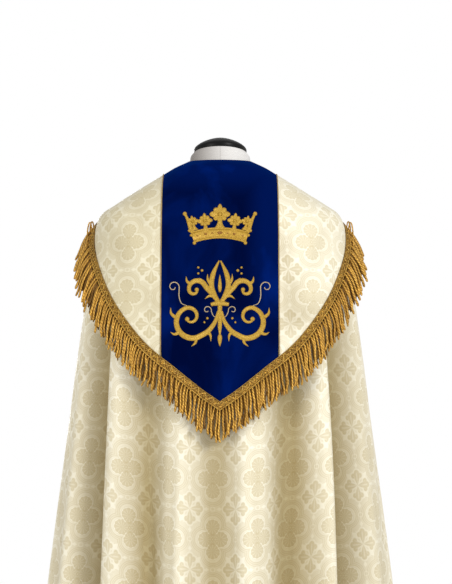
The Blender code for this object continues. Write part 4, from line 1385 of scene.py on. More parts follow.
def strand(where, front):
    """The path of one strand with its root this far along the heading, in row 0, dull, or 1, bright."""
    root, normal = at_root(where, lower_side), unit(at_root(where, edge_normal))
    flat = level_outwards(root)
    beside = np.array([-flat[1], flat[0], 0.0])
    spring = float(shoulder_share(flat[0]))
    loose = 1.0 + 0.9 * spring
    uneven = np.interp(root[0], LENGTH_PLACES, LENGTH_SHARES) if root[1] < 0 else 1.0
    length = STRAND_LENGTH * uneven * (1.0 + generator.normal(0.0, 0.055)) * ROW_LENGTH[front]
    share = DOWN_STRAND
    fall = share * length

    # It stands off the cloak, and over the shoulders it springs further out.
    rounding = np.sin(np.minimum(share * 2.2, 1.0) * np.pi / 2)
    stand = 0.0016 + 0.0016 * front + (0.0026 + 0.0016 * front) * rounding
    spread = ROW_SPREAD[front] * generator.uniform(0.75, 1.25)
    sprung = spring * (0.0010 * smooth(share / 0.25) + spread * share)
    out = fall * CLOAK_SLOPE * 0.92 + stand + sprung

    # It leans to one side together with its neighbours, bends a little and curls.
    clump = 0.0017 * math.sin(where * 410.0) + 0.0012 * math.sin(where * 173.0 + 1.0)
    lean = generator.normal(0.0, 0.0030) + clump
    sway = lean * loose * share + generator.normal(0.0, 0.0018) * np.sin(np.pi * share)
    wave = lambda: np.sin(2 * np.pi * (share * generator.uniform(1.0, 2.4) + generator.uniform()))
    curl = 0.0015 * wave()
    curl_out = 0.0011 * wave()
    start = root - normal * (0.0018 - 0.0010 * front)
    points = start + np.outer(out + curl_out * share, flat) + np.outer(sway + curl * share, beside)
    points[:, 2] -= fall * (1.0 - 0.10 * spring)
    thick = ROW_RADIUS[front] * generator.uniform(0.88, 1.12) * (1.0 + 0.14 * spring)
    radii = thick * STRAND_SHAPE
    if front:  # over the stout cord, from a little way up the heading
        points = np.vstack((at_root(where, looped_side), root + normal * 0.0019, points))
        radii = np.concatenate(([thick * 0.45, thick * 0.62], radii))
    return points, radii


print("strands hang from", round(float(lower_run[-1]), 3), "m of heading")

# %% [markdown]
# The strands are sorted by where they hang into eight pieces, four for each row, so that no piece has
# too many faces. The finish gives every strand its own shade, by its number in the piece.

# %% The two rows of strands
strands = []
for front, label, finish in ((0, "fringe_under_", painted_shade_bullion), (1, "fringe_strands_", bullion)):
    groups = {"back_left": [], "back_right": [], "front_left": [], "front_right": []}
    step = STRAND_STEP if front else STRAND_STEP * UNDER_STEP
    wheres = np.arange(step * (0.25 + 0.5 * front), lower_run[-1], step)
    for number, where in enumerate(wheres + generator.uniform(-0.0011, 0.0011, len(wheres))):
        path = strand(where, front)
        root = path[0][0]
        # The heading is stretched over the shoulder, so its strands stand further apart there.
        if front and number % 3 == 2 and shoulder_share(level_outwards(root)[0]) > ON_SHOULDER:
            continue
        half = "back_" if root[1] < 0 else "front_"
        groups[half + ("left" if root[0] < 0 else "right")].append(path)
    for word, paths in groups.items():
        strands.append(finished(tubes(label + word, paths, 6, finish), "bullion"))
        print(f"{counted(strands[-1])}, {len(paths)} strands")

# %% [markdown]
# At the top of each shoulder a loose loop of cord stands up where the heading turns over to the
# front. It is the same cord, bent up and back on itself.

# %% Shoulder loops
# Each loop: degrees from the middle of the back, height, width and how far it leans to the back.
LOOPS = ((86.0, 0.021, 0.0105, 0.004), (81.0, 0.013, 0.0080, 0.006), (93.0, 0.015, 0.0090, -0.003))


def shoulder_loops():
    """Each loop rises from the heading, bends over and comes down again beside its own foot."""
    paths = []
    turn = np.linspace(0.0, 1.0, 15)
    for side in (-1, 1):
        for angle, tall, wide, lean in LOOPS:
            where = float(np.interp(side * angle, station_angle, lower_run))
            off = wide * (0.15 + 0.85 * smooth(turn * 1.25)) - 0.002
            rise = tall * np.sin(np.pi * np.minimum(turn * 1.35, 1.35)) - 0.004 * (turn < 0.05)
            rise = np.where(turn > 0.74, rise - (turn - 0.74) * 0.055, rise)
            points = at_root(where, lower_side) + np.stack((off * side, -turn * lean, rise), -1)
            radii = np.full(len(turn), 0.0015)
            radii[-1] = 0.0007
            paths.append((points, radii))
    return tubes("fringe_loops", paths, 6, bullion)


fringe_loops = finished(shoulder_loops(), "bullion")
print(counted(fringe_loops))

# %% [markdown]
# ## Piping
# A fine cord covers each seam between velvet and damask, from the back over the shoulder to the
# breast. It is laid half its radius above the seam line, so that it looks sewn into the cloth.

# %% Cords over the seams
PIPING_RADIUS = 0.0012
piping_thread = twisted("piping_thread", (0.60, 0.43, 0.19), (0.26, 0.16, 0.05), 0.0020, 0.3, 0.42)
for side, word in ((-1, "left"), (1, "right")):
    columns = hood_columns(BACK_CORNER, FRONT_CORNER, 0.003)
    place = seam_place(columns)
    flat_place = hood_point(side * columns, place)
    line = hood_point(side * columns, place, hood_relief(flat_place) + PIPING_RADIUS / 2)
    path = (line, np.full(len(line), PIPING_RADIUS))
    piece = tubes("piping_" + word + "_cord", [path], 6, piping_thread)
    finished(piece, "bullion", "piping_" + word)
    print(counted(piece))

# %% [markdown]
# ## Embroidery
# The gold work is satin stitch over padding: threads lie side by side across each shape, so that
# every leaf and scroll is a low rounded cushion. Shapes are drawn flat, in millimetres, and then
# carried onto the velvet by looking straight at its back.

# %% Onto the velvet
hood_velvet_tree = BVHTree.FromPolygons(
    [v.co.copy() for v in hood_velvet.data.vertices],
    [tuple(p.vertices) for p in hood_velvet.data.polygons],
)


def onto_velvet(x, z, lift):
    """The point of the velvet behind (x, z), raised by lift."""
    hit, normal, _, _ = hood_velvet_tree.ray_cast(Vector((x, -1.0, z)), Vector((0.0, 1.0, 0.0)))
    return hit + normal * lift


print("velvet under the needle:", len(hood_velvet.data.vertices), "points")

# %% [markdown]
# Two kinds of cushion make up all the work: a stroke, which follows a line and swells and tapers
# along it, and a leaf, which is drawn up ring by ring from its outline. Both are closed, with their
# rim a little under the velvet, and both keep a flat map on which the stitches are drawn.

# %% Strokes and leaves
STITCH_BEND = 70  # degrees
# Across a stroke: places from side to side, and how high it is there.
STROKE_ACROSS = (1.0, 0.88, 0.5, 0.0, -0.5, -0.88, -1.0)
STROKE_RISE = (-0.3, 0.52, 0.90, 1.0, 0.90, 0.52, -0.3)
# A leaf's rings: how large each is, and how high.
LEAF_RINGS = ((1.0, -0.3), (0.93, 0.45), (0.74, 0.82), (0.40, 1.0))


class Needlework:
    """Collects raised shapes on the velvet, each with its own map for the direction of its stitches."""

    def __init__(self, name, middle_z, material, scale=1.0):
        self.name, self.middle_z, self.material, self.scale = name, middle_z, material, scale / 1000
        self.places, self.faces, self.maps, self.rims = [], [], [], []

    def point(self, x, z, lift, rim):
        self.places.append(onto_velvet(x * self.scale, self.middle_z + z * self.scale, lift / 1000)[:])
        self.rims.append(rim)
        return len(self.places) - 1

    def face(self, points, maps):
        self.faces.append(tuple(points))
        self.maps += maps

    def stroke(self, line, widths, height=1.5):
        """A cushion along a line, of changing width, in millimetres."""
        line = np.asarray(line, float)
        widths = np.interp(np.linspace(0, 1, len(line)), np.linspace(0, 1, len(widths)), widths)
        ahead = unit(np.gradient(line, axis=0))
        side = np.stack((-ahead[:, 1], ahead[:, 0]), -1)
        run = run_along(line)
        rows, maps = [], []
        for p, s, w, along in zip(line, side, widths, run):
            tall = height * min(1.0, 0.35 + w / 8.0)
            section = zip(STROKE_ACROSS, STROKE_RISE)
            rows.append([self.point(*(p + s * w / 2 * a), tall * r, abs(a) ** 6) for a, r in section])
            maps.append([(a * w / 2, along) for a in STROKE_ACROSS])
        for here, there, flat, next_flat in zip(rows, rows[1:], maps, maps[1:]):
            for k in range(len(here) - 1):
                self.face((here[k], there[k], there[k + 1], here[k + 1]),
                          [flat[k], next_flat[k], next_flat[k + 1], flat[k + 1]])
            self.face((here[-1], there[-1], there[0], here[0]), [(0.0, flat[0][1])] * 4)
        self.face(rows[0], maps[0])
        self.face(rows[-1][::-1], maps[-1])

    def leaf(self, x, z, turn, length, width, height=1.6, point=1.0):
        """A padded petal, round at its foot and as pointed at its tip as asked, turned in degrees."""
        t = np.linspace(0, 2 * np.pi, 21)[:-1]
        along = -np.cos(t)
        across = np.sin(t) * (1.0 - point * 0.5 * (along + 1.0) * 0.75)
        outline = np.stack((across * width / 2, along * length / 2), -1)
        c, s = math.cos(math.radians(turn)), math.sin(math.radians(turn))
        turned = [(a * c - b * s, a * s + b * c) for a, b in outline]
        rings, maps = [], []
        for share, rise in LEAF_RINGS:
            tall, rim = height * rise, share**6
            rings.append([self.point(x + a * share, z + b * share, tall, rim) for a, b in turned])
            maps.append([tuple(p * share) for p in outline])
        for here, there, flat, next_flat in zip(rings, rings[1:], maps, maps[1:]):
            for k in range(len(outline)):
                j = (k + 1) % len(outline)
                self.face((here[k], here[j], there[j], there[k]),
                          [flat[k], flat[j], next_flat[j], next_flat[k]])
        self.face(rings[-1], maps[-1])
        self.face(rings[0][::-1], maps[0][::-1])

    def sewn(self):
        """Makes one piece of all that was collected, with its faces turned outwards."""
        flat = np.array(self.maps, float) / 1000
        piece = drawn(self.name, self.places, self.faces, "stitch", flat, self.material)
        rims = piece.data.attributes.new("rim", "FLOAT", "POINT")
        rims.data.foreach_set("value", self.rims)
        only(piece)
        bpy.ops.object.mode_set(mode="EDIT")
        bpy.ops.mesh.select_all(action="SELECT")
        bpy.ops.mesh.normals_make_consistent(inside=False)
        bpy.ops.object.mode_set(mode="OBJECT")
        return smoothed(piece, STITCH_BEND)


print("a leaf has", len(LEAF_RINGS), "rings, and a stroke", len(STROKE_ACROSS), "points across")

# %% [markdown]
# A stroke's line is given by a few points and drawn smoothly through them. What stands to the right of
# the middle is drawn once, and a mirror image of its line serves for the left.

# %% Lines to sew along
def through(points, steps=10):
    """A smooth line through a few points, each side of them counted in steps."""
    points = np.asarray(points, float)
    padded = np.vstack((2 * points[0] - points[1], points, 2 * points[-1] - points[-2]))
    line = []
    for a, b, c, d in zip(padded, padded[1:], padded[2:], padded[3:]):
        line += [curve(a, b, c, d, t) for t in np.linspace(0, 1, steps, endpoint=False)]
    return np.array(line + [points[-1]])


def mirrored(line):
    return np.asarray(line, float) * (-1.0, 1.0)


print("a line through 3 points has", len(through([(0, 0), (1, 1), (2, 0)])), "points")

# %% [markdown]
# Gold thread in satin stitch shines along a line across the stitches. The finish draws the threads half
# a millimetre apart, lets every so many sink where the needle was set anew, and darkens the rim with
# painted shade, where the threads turn down into the velvet.

# %% Gold thread
def stitched(name, bright, dark, pitch):
    f = Finish(name, Metallic=0.30, Specular_IOR_Level=0.5, Anisotropic=0.4)
    u, v, _ = f.apart(f.coordinates((1000.0, 1000.0, 1.0), uv="stitch"))
    slant = f.plus(v, f.times(f.size(u), 0.35))
    wander = f.noise(f.coordinates(), 260.0, 2.0)
    slant = f.plus(slant, f.times(wander, 0.5))
    thread = f.sine(f.times(slant, 2 * math.pi / pitch))
    uneven = f.noise(f.together(f.times(u, 0.10), f.times(slant, 1.3)), 1.0, 3.0, 0.65)
    start = f.band(f.math("WRAP", f.plus(slant, f.times(uneven, 3.0)), 11.0, 0.0), -1.0, 0.35, 0.25)
    height = f.plus(f.times(thread, 0.35), uneven)
    height = f.minus(height, f.times(start, 0.8))
    body = f.mix(f.step(uneven, 0.32, 0.62), dark, bright)
    body = f.mix(f.times(start, 0.55), body, dark)
    body = f.mix(f.step(thread, 0.2, -1.1), body, dark)
    rim = f.step(f.attribute("rim"), 0.30, 0.95)  # 1 where the threads turn down into the velvet
    # Painted shade on the rim, where the threads turn down.
    f.to("Base Color", f.mix(rim, body, tuple(c * 0.30 for c in dark)))
    f.to("Roughness", f.times_plus(uneven, 0.3, 0.26))
    f.to("Normal", f.bump(height, 0.5, 0.0005))
    return f.material


gold_thread = stitched("gold_thread", (0.705, 0.450, 0.050), (0.360, 0.195, 0.016), 0.55)
copper_thread = stitched("copper_thread", (0.420, 0.190, 0.025), (0.200, 0.075, 0.008), 0.45)
pale_thread = stitched("pale_thread", (0.640, 0.520, 0.330), (0.400, 0.300, 0.160), 0.40)
print("threads:", gold_thread.name, copper_thread.name, pale_thread.name)

# %% [markdown]
# The crown is an open one with five flowers on a curved band, the plain kind that many crafts
# share. Each flower is a rosette of eight padded petals round a boss, on a stalk that widens into
# the band. The outer two lean against a spike with a ball on its tip. The band has a cord along each
# side and carries stones, worked in a darker thread, the larger ones inside rings of gold.

# %% The crown
CROWN_HEIGHT = 1.3862  # of its middle, above the floor
crown_work = Needlework("embroidery_crown", CROWN_HEIGHT, gold_thread)
stone_work = Needlework("embroidery_stones", CROWN_HEIGHT, copper_thread)
# The band: half its width, the height of its ends, and its bow.
CROWN_HALF, CROWN_LOW, CROWN_ARC = 52.0, -26.4, 8.6


def on_band(x, offset):
    """A point of the crown's band, offset from its middle line."""
    return x * (1 + offset * 0.0077), CROWN_LOW + CROWN_ARC * (1 - (x / CROWN_HALF) ** 2) + offset


xs = np.linspace(-CROWN_HALF, CROWN_HALF, 41)
crown_work.stroke([on_band(x, 0.0) for x in xs], [17.5, 17.5], 1.2)
for offset in (-8.9, 8.9):
    crown_work.stroke([on_band(x, offset) for x in xs], [3.4, 3.8, 3.8, 3.8, 3.4], 2.0)
for x, half_long, half_tall in ((0.0, 8.4, 5.0), (27.0, 4.4, 3.6), (-27.0, 4.4, 3.6)):
    t = np.linspace(0, 2 * np.pi, 29)
    cx, cz = on_band(x, 0.0)
    ring = np.stack((cx + half_long * np.cos(t), cz + half_tall * np.sin(t)), -1)
    crown_work.stroke(ring, [1.7, 1.7], 2.3)
    stone_work.leaf(cx, cz, 90.0, half_long * 1.35, half_tall * 1.25, 2.4, 0.0)
for x in (-43.0, -14.5, 14.5, 43.0):
    cx, cz = on_band(x, 0.0)
    stone_work.leaf(cx, cz, 90.0, 5.6, 3.0, 2.0, 0.3)
print("points of the crown's band:", len(crown_work.places))

# %% [markdown]
# All five flowers are the same one in other sizes, and the outer ones lean outwards. Their petals
# overlap, as padded petals do that are sewn one over the other, and the boss covers where they meet.

# %% Its flowers and spikes
# Each petal: x and z of its middle, tilt in degrees, length, width and how pointed it is.
PETALS = (
    (0, 10.8, 0, 20, 14, 0.6), (11.0, 0.2, -90, 18, 14, 0.25),
    (-11.0, 0.2, 90, 18, 14, 0.25), (0, -8.5, 180, 14, 12, 0.1),
    (6.6, 7.2, -45, 13, 11.5, 0.0), (-6.6, 7.2, 45, 13, 11.5, 0.0),
    (6.8, -6.2, -130, 12.5, 10.5, 0.0), (-6.8, -6.2, 130, 12.5, 10.5, 0.0),
)
# Each flower: x and z of its boss, lean in degrees and size.
FLOWERS = (
    (0.0, 17.8, 0.0, 1.02), (28.6, 5.2, -6.0, 0.76), (-28.6, 5.2, 6.0, 0.76),
    (51.6, 3.6, -14.0, 0.60), (-51.6, 3.6, 14.0, 0.60),
)


def flower(work, x, z, turn, size):
    """Eight petals round a boss, on a stalk that widens downwards. It leans by turn degrees."""
    c, s = math.cos(math.radians(turn)), math.sin(math.radians(turn))
    spot = lambda a, b: (x + (a * c - b * s) * size, z + (a * s + b * c) * size)
    stalk = [spot(0, b) for b in (-28, -24, -20, -15, -9, -3)]
    work.stroke(stalk, [w * size for w in (25, 19, 13, 9.5, 8, 8)], 1.4)
    for a, b, tilt, long, wide, point in PETALS:
        work.leaf(*spot(a, b), turn + tilt, long * size, wide * size, 2.3, point)
    work.leaf(*spot(0, 0), 0.0, 8.6 * size, 8.6 * size, 3.4, 0.0)


for x, z, turn, size in FLOWERS:
    flower(crown_work, x, z, turn, size)
for side in (-1, 1):
    spike = [(side * x, z) for x, z in ((53.0, -16.0), (57.0, -5.0), (61.5, 8.0), (66.5, 18.5))]
    crown_work.stroke(spike, [10.0, 8.5, 6.5, 4.6], 1.8)
    for x, z, size in ((67.0, 19.0, 8.4), (58.2, -13.5, 6.0), (54.4, -22.5, 6.0), (48.4, -37.0, 7.4)):
        crown_work.leaf(side * x, z, 0.0, size, size, 2.2, 0.0)
embroidery_crown = finished(crown_work.sewn(), "bullion")
embroidery_stones = finished(stone_work.sewn(), "bullion")
print(counted(embroidery_crown), counted(embroidery_stones), sep=", ")

# %% [markdown]
# Under the crown stands a lily between two scrolls. A lily and leafy scrolls are among the oldest
# ornaments of church needlework. The strokes swell and taper like a pen's, spurs of leaf break from
# them and bend away, and fine pale tendrils fill the corners.

# %% The lily and its scrolls
LILY_HEIGHT, LILY_SCALE = 1.2365, 0.94
lily = Needlework("embroidery_lily", LILY_HEIGHT, gold_thread, LILY_SCALE)
vines = Needlework("embroidery_tendrils", LILY_HEIGHT, pale_thread, LILY_SCALE)


def curl(x, z, start_radius, end_radius, start, end, steps=26):
    """A spiral round (x, z), with its angles in degrees."""
    t = np.radians(np.linspace(start, end, steps))
    r = np.linspace(start_radius, end_radius, steps)
    return np.stack((x + r * np.cos(t), z + r * np.sin(t)), -1)


petal_line = through([(1.5, 0), (10.5, 14), (17.0, 34), (13.5, 57), (1.5, 84)])
wing = np.vstack((
    through([(4, 1), (14, 15), (29, 32)], 12)[:-1],
    curl(46.0, 26.5, 17.5, 16.5, 160, 10, 22)[1:],
    curl(51.5, 25.0, 10.8, 5.0, 5, -190, 22),
))
scroll = np.vstack((
    through([(3, -18), (9, -38), (24, -58), (46, -71)], 10)[:-1],
    curl(56.5, -37.0, 35.5, 28.0, -107, 60, 30)[1:],
    curl(60.5, -29.5, 19.5, 7.0, 68, 330, 34),
))
upper_tendril = np.vstack((
    through([(66, -7), (77, -2), (82, 11), (82, 27)], 9)[:-1],
    curl(93.5, 31.0, 11.8, 3.4, 190, -170, 36),
))
lower_tendril = np.vstack((
    through([(4, -31), (12, -28), (17, -19)], 8)[:-1],
    curl(25.6, -15.5, 8.8, 2.6, 195, -140, 26),
))
# Spurs of leaf: each breaks from a stroke, and bends away to a point.
SPURS = (
    ((28, 30), (31, 40), (41, 49)), ((57, 36), (66, 42), (68, 52)),
    ((16, 34), (24, 45), (25, 57)), ((12, 12), (21, 13), (30, 7)),
    ((26, -58), (19, -66), (18, -78)), ((48, -71), (49, -81), (57, -88)),
    ((80, -60), (91, -64), (99, -60)), ((90, -30), (98, -22), (99, -11)),
)
# Single dots: x, z and size.
DOTS = (
    (36.0, 64.0, 6.0), (43.5, 70.0, 5.0), (43.5, 58.0, 5.0), (25.0, -32.0, 5.4), (31.0, -40.0, 4.4),
)
print("points of a wing and a scroll:", len(wing), "and", len(scroll))

# %% [markdown]
# One half is sewn as it is drawn and the other as its mirror image, line by line. What lies on the
# middle line is sewn once: the stalk, the petal above it, the tie round it and the leaf at its foot.

# %% Sewing the lily
for turned_over in (False, True):
    way = mirrored if turned_over else np.asarray
    sign = -1 if turned_over else 1
    lily.stroke(way(petal_line), [7.0, 10.5, 11.5, 10.5, 3.0])
    lily.stroke(way(wing), [7.0, 9.6, 11.2, 10.8, 8.6, 6.6, 5.0])
    lily.leaf(sign * 46.5, 25.5, 0.0, 9.0, 9.0, 2.2, 0.0)
    lily.stroke(way(scroll), [6.0, 9.0, 11.4, 12.0, 11.2, 9.4, 7.6, 6.0, 4.4])
    lily.leaf(sign * 65.5, -33.5, 0.0, 9.6, 9.6, 2.2, 0.0)
    for knots in SPURS:
        lily.stroke(way(through(knots, 7)), [7.4, 6.6, 4.4, 0.9], 1.4)
    for x, z, size in DOTS:
        lily.leaf(sign * x, z, 0.0, size, size, 1.9, 0.0)
    vines.stroke(way(upper_tendril), [1.4, 2.2, 2.2, 2.0, 1.8], 1.0)
    vines.stroke(way(lower_tendril), [1.4, 1.9, 1.9, 1.7], 1.0)
lily.stroke([(0, -66), (0, -50), (0, -30), (0, -8), (0, 2)], [3.0, 8.5, 9.5, 9.5, 8.0])
lily.leaf(0.0, 38.0, 0.0, 38.0, 11.0, 1.8, 0.9)
tie = [(-18, -4.5), (-9, -2.6), (0, -2.0), (9, -2.6), (18, -4.5)]
lily.stroke(tie, [7.5, 9.6, 10.2, 9.6, 7.5], 2.4)
lily.leaf(0.0, -76.0, 180.0, 26.0, 13.0, 1.8, 0.9)
embroidery_lily = finished(lily.sewn(), "bullion")
embroidery_tendrils = finished(vines.sewn(), "bullion")
print(counted(embroidery_lily), counted(embroidery_tendrils), sep=", ")

# %% [markdown]
# ## The clasp
# A tab of the same velvet closes the cope over the breast. Its two ends are held by hooks under it.
# A cord edges it, as it edges the hood's panel.

# %% The tab over the breast
CLASP_WIDTH, CLASP_DROP, CLASP_THICKNESS = 0.104, 0.050, 0.0035
CLASP_TOP, CLASP_CLEAR = 1.352, 0.0015
columns, rows = 52, 22
clasp_rows = []
for r in range(rows + 1):
    level = CLASP_TOP - CLASP_DROP * r / rows
    above = lambda v: hood_point(np.full(1, 180.0), v)[..., 2] - level
    v = solve(above, np.zeros(1), np.full(1, 6.0))
    short = lambda a: CLASP_WIDTH / 2 - hood_point(180.0 - a, v)[..., 0]
    spread = solve(short, np.zeros(1), np.full(1, 60.0))[0]
    round_off = 1.0 - 0.035 * abs(2 * r / rows - 1) ** 6
    angle = 180.0 + spread * round_off * np.linspace(-1, 1, columns + 1)
    soft = 0.0005 * np.cos(np.linspace(-1, 1, columns + 1) * np.pi / 2) * math.sin(math.pi * r / rows)
    lift = CLASP_CLEAR + CLASP_THICKNESS + soft
    clasp_rows.append(hood_point(angle, np.full(columns + 1, v[0]), lift))
tab = np.stack(clasp_rows)
clasp = thicken(lay_sheet("clasp_velvet", tab, None, (blue_velvet, lining)), CLASP_THICKNESS)
finished(clasp, "velvet", "clasp_tab")
rim = np.vstack((tab[0], tab[1:-1, -1], tab[-1, ::-1], tab[-2:0:-1, 0], tab[:1, 0]))
cord_path = (rim, np.full(len(rim), 0.0011))
clasp_cord = finished(tubes("clasp_cord", [cord_path], 6, piping_thread), "bullion")
print(counted(clasp), counted(clasp_cord), sep=", ")

# %% [markdown]
# ## The dress form
# The form's neck shows above the cope and its foot below. Its pole and foot keep their CAD solids and
# only need finishes. The cover is white linen with a seam down the back, the cap is lacquered wood,
# the pole is brushed steel and the foot is painted iron.

# %% Finishes of the form
def linen():
    f = Finish("linen_cover", Specular_IOR_Level=0.25, Sheen_Weight=0.1)
    x, y, _ = f.apart(f.coordinates())
    warp = f.noise(f.coordinates((900.0, 900.0, 60.0)), 1.0, 2.0, 0.6)
    weft = f.noise(f.coordinates((60.0, 60.0, 900.0)), 1.0, 2.0, 0.6)
    weave = f.plus(warp, weft)
    seam = f.times(f.step(f.size(x), 0.0016, 0.0004), f.step(y, 0.0, -0.01))
    cloth = f.mix(f.step(weave, 0.8, 1.25), (0.735, 0.718, 0.700), (0.800, 0.790, 0.775))
    painted_side_shade = f.times(f.step(x, 0.036, -0.066), f.step(y, 0.050, 0.012))  # painted shade: the neck darkens towards the left
    cloth = f.mix(painted_side_shade, cloth, (0.300, 0.276, 0.258))
    f.to("Base Color", f.mix(f.times(seam, 0.45), cloth, (0.50, 0.48, 0.46)))
    f.to("Roughness", f.times_plus(weave, 0.12, 0.68))
    height = f.minus(f.times(weave, 0.4), f.times(seam, 1.5))
    f.to("Normal", f.bump(height, 0.5, 0.0006))
    return f.material


def lacquer():
    f = Finish("cap_lacquer", Specular_IOR_Level=0.13)
    wear = f.noise(f.coordinates(), 45.0, 4.0, 0.6)
    rubbed = f.noise(f.coordinates((1.0, 1.0, 6.0)), 300.0, 2.0, 0.6)
    f.to("Base Color", f.mix(wear, (0.004, 0.004, 0.004), (0.008, 0.008, 0.007)))
    f.to("Roughness", f.times_plus(rubbed, 0.08, 0.34))
    return f.material


def brushed_steel():
    f = Finish("brushed_steel", Metallic=1.0)
    lines = f.noise(f.coordinates((60.0, 60.0, 900.0)), 1.0, 3.0, 0.6)
    f.to("Base Color", f.mix(lines, (0.46, 0.46, 0.47), (0.62, 0.62, 0.63)))
    f.to("Roughness", f.times_plus(lines, 0.22, 0.22))
    f.to("Normal", f.bump(lines, 0.1, 0.0002))
    return f.material


def painted_iron():
    f = Finish("painted_iron", Specular_IOR_Level=0.5)
    pitted = f.noise(f.coordinates(), 420.0, 3.0, 0.6)
    dust = f.step(f.noise(f.coordinates(), 14.0, 4.0, 0.65), 0.5, 0.85)
    f.to("Base Color", f.mix(f.times(dust, 0.35), (0.020, 0.020, 0.021), (0.085, 0.083, 0.080)))
    f.to("Roughness", f.times_plus(pitted, 0.2, 0.38))
    f.to("Normal", f.bump(pitted, 0.25, 0.0004))
    return f.material


def repaint(node, material):
    piece = frame["nodes"][node]
    piece.data.materials.clear()
    piece.data.materials.append(material)


repaint("form_pole", brushed_steel())
iron = painted_iron()
repaint("form_base", iron)
repaint("form_collar", iron)
print("form finishes done")

# %% [markdown]
# The form's linen body and its cap are drawn up from a disc, one ring after another, and every ring
# is then set to its own outline. The body's rings are the slanted neck, the shoulders, which follow
# the inside of the cloak, and the trunk, with a smooth curve through all of them.

# %% Rings of the form
FORM_SIDES = 96
AROUND = np.arange(FORM_SIDES) * 2 * np.pi / FORM_SIDES  # directions round the form, from its back on
# Neck: height, half width, depth, how far forward its middle lies, and slant in degrees.
FORM_NECK = [
    (1.5330, 0.0530, 0.0540, 0.0120, 11.5),
    (1.5265, 0.0588, 0.0560, 0.0090, 9.0),
    (1.5180, 0.0603, 0.0575, 0.0040, 5.0),
]
SHOULDER_EASE = 0.0010  # metres between the form and the cloak that it carries
BREAST_EASE = (0.000, 0.001, 0.004, 0.010, 0.018, 0.026, 0.034)  # more at the breast, ring by ring
# Trunk: height at the sides, drop to the back and to the front, half width, back depth, front depth.
FORM_TRUNK = [
    (1.352, 0.035, 0.165, 0.218, 0.142, 0.115), (1.300, 0.025, 0.135, 0.195, 0.135, 0.113),
    (1.230, 0.015, 0.090, 0.175, 0.123, 0.109), (1.150, 0.005, 0.045, 0.157, 0.108, 0.102),
    (1.070, 0.0, 0.015, 0.143, 0.093, 0.094), (1.000, 0.0, 0.0, 0.142, 0.090, 0.091),
    (0.920, 0.0, 0.0, 0.159, 0.104, 0.097), (0.840, 0.0, 0.0, 0.171, 0.117, 0.100),
    (0.780, 0.0, 0.0, 0.168, 0.115, 0.096), (0.760, 0.0, 0.0, 0.158, 0.106, 0.088),
]


def outline(half_width, depth, squareness):
    """A rounded outline: sideways and forward parts of a point for each direction, 0 at the back."""
    cosine, sine = np.cos(AROUND), np.sin(AROUND)
    reach = (np.abs(cosine) / depth) ** squareness + (np.abs(sine) / half_width) ** squareness
    radius = reach ** (-1 / squareness)
    return radius * sine, -radius * cosine


def neck_ring(height, half_width, depth, centre, slant):
    x, y = outline(half_width, depth, 2.0)
    return np.stack((x, centre + y, height - y * math.tan(math.radians(slant))), -1)


def shoulder_ring(v):
    degrees = np.degrees(AROUND)
    inset = CLOTH + SHOULDER_EASE + np.interp(v, range(7), BREAST_EASE) * smooth(-np.cos(AROUND) * 1.5)
    v = np.full(AROUND.shape, v)
    return drape(degrees, v, False) - outward(degrees, v, False) * inset[:, None]


def trunk_ring(z_side, drop_back, drop_front, half_width, back, front):
    behind = np.cos(AROUND) > 0
    x, y = outline(half_width, np.where(behind, back, front), 2.1)
    drop = np.where(behind, drop_back, drop_front)
    return np.stack((x, y, z_side - drop * np.cos(AROUND) ** 2), -1)


rings = [neck_ring(*r) for r in FORM_NECK]
rings += [shoulder_ring(v) for v in np.linspace(0, 6, 13)]
rings += [trunk_ring(*r) for r in FORM_TRUNK]
padded = np.stack([2 * rings[0] - rings[1], *rings, 2 * rings[-1] - rings[-2]])
form_rings = [rings[-1]]  # from the lowest one up, with three more between every two
for a, b, c, d in zip(padded[::-1], padded[-2::-1], padded[-3::-1], padded[-4::-1]):
    form_rings += [curve(a, b, c, d, t) for t in (0.25, 0.5, 0.75, 1.0)]
print("rings of the form's body:", len(form_rings))

# %% [markdown]
# The cap is turned from wood: a short upright rim and a low dome, narrower towards its top than half
# a ball. It sits on the neck's slant, which rises towards the back.

# %% The form's body and the neck cap
CAP_HEIGHT, CAP_HALF_WIDTH, CAP_DEPTH, CAP_CENTRE, CAP_SLANT = 1.5333, 0.0530, 0.0540, 0.0120, 11.5
CAP_RIM, CAP_DOME = 0.0066, 0.0248  # how high its upright rim is, and its dome over that
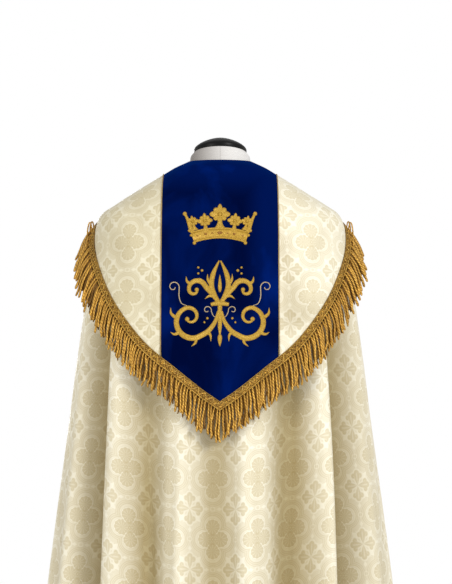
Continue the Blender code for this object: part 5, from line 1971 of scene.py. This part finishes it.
# The dome's rings, as shares of the cap's width.
DOME_RINGS = (
    0.995, 0.98, 0.96, 0.93, 0.89, 0.84, 0.78, 0.71, 0.63, 0.54, 0.44, 0.34, 0.24, 0.14, 0.06, 0.02,
)
FORM_BEND = 40  # degrees


def drawn_up(name, rings, material):
    """A closed piece through these rings, from the lowest to the highest."""
    count = len(rings[0])
    deselect()
    bpy.ops.mesh.primitive_circle_add(vertices=count, radius=1.0, fill_type="NGON", location=(0, 0, 0))
    piece = bpy.context.object
    piece.name = piece.data.name = name
    bpy.ops.object.mode_set(mode="EDIT")
    bpy.ops.mesh.select_mode(type="FACE")
    bpy.ops.mesh.select_all(action="SELECT")
    for _ in rings[1:]:
        bpy.ops.mesh.extrude_region_move(TRANSFORM_OT_translate={"value": (0.0, 0.0, 1.0)})
    bpy.ops.mesh.select_all(action="SELECT")
    bpy.ops.mesh.normals_make_consistent(inside=False)
    bpy.ops.object.mode_set(mode="OBJECT")
    for vertex in piece.data.vertices:
        x, y, z = vertex.co
        k = round(math.atan2(x, -y) / (2 * math.pi) * count) % count
        vertex.co = rings[round(z)][k]
    piece.data.materials.append(material)
    return smoothed(piece, FORM_BEND)


form_linen = finished(drawn_up("form_linen", form_rings, linen()), "form_cover", "form_body")
cap_steps = [(0.0, 0.990), (0.0005, 1.0), (CAP_RIM * 0.5, 1.0), (CAP_RIM, 1.0)]
cap_steps += [(CAP_RIM + CAP_DOME * (1 - r**1.3) ** 0.65, r) for r in DOME_RINGS]
cap_rings = [
    neck_ring(CAP_HEIGHT + rise, CAP_HALF_WIDTH * r, CAP_DEPTH * r, CAP_CENTRE, CAP_SLANT)
    for rise, r in cap_steps
]
neck_cap = finished(drawn_up("neck_cap", cap_rings, lacquer()), "form_cap", "form_neck_cap")
print(counted(form_linen), counted(neck_cap), sep=", ")

# %% [markdown]
# ## The gores' sizes
# Each gore's area, hem and drop, measured along the cloth, are kept in a table, and here they are only
# read back, one gore at a time.

# %% Reading back the gores' sizes
for gore in GORES:
    piece, area, hem_length, drop = cloak[gore.node]

# %% [markdown]
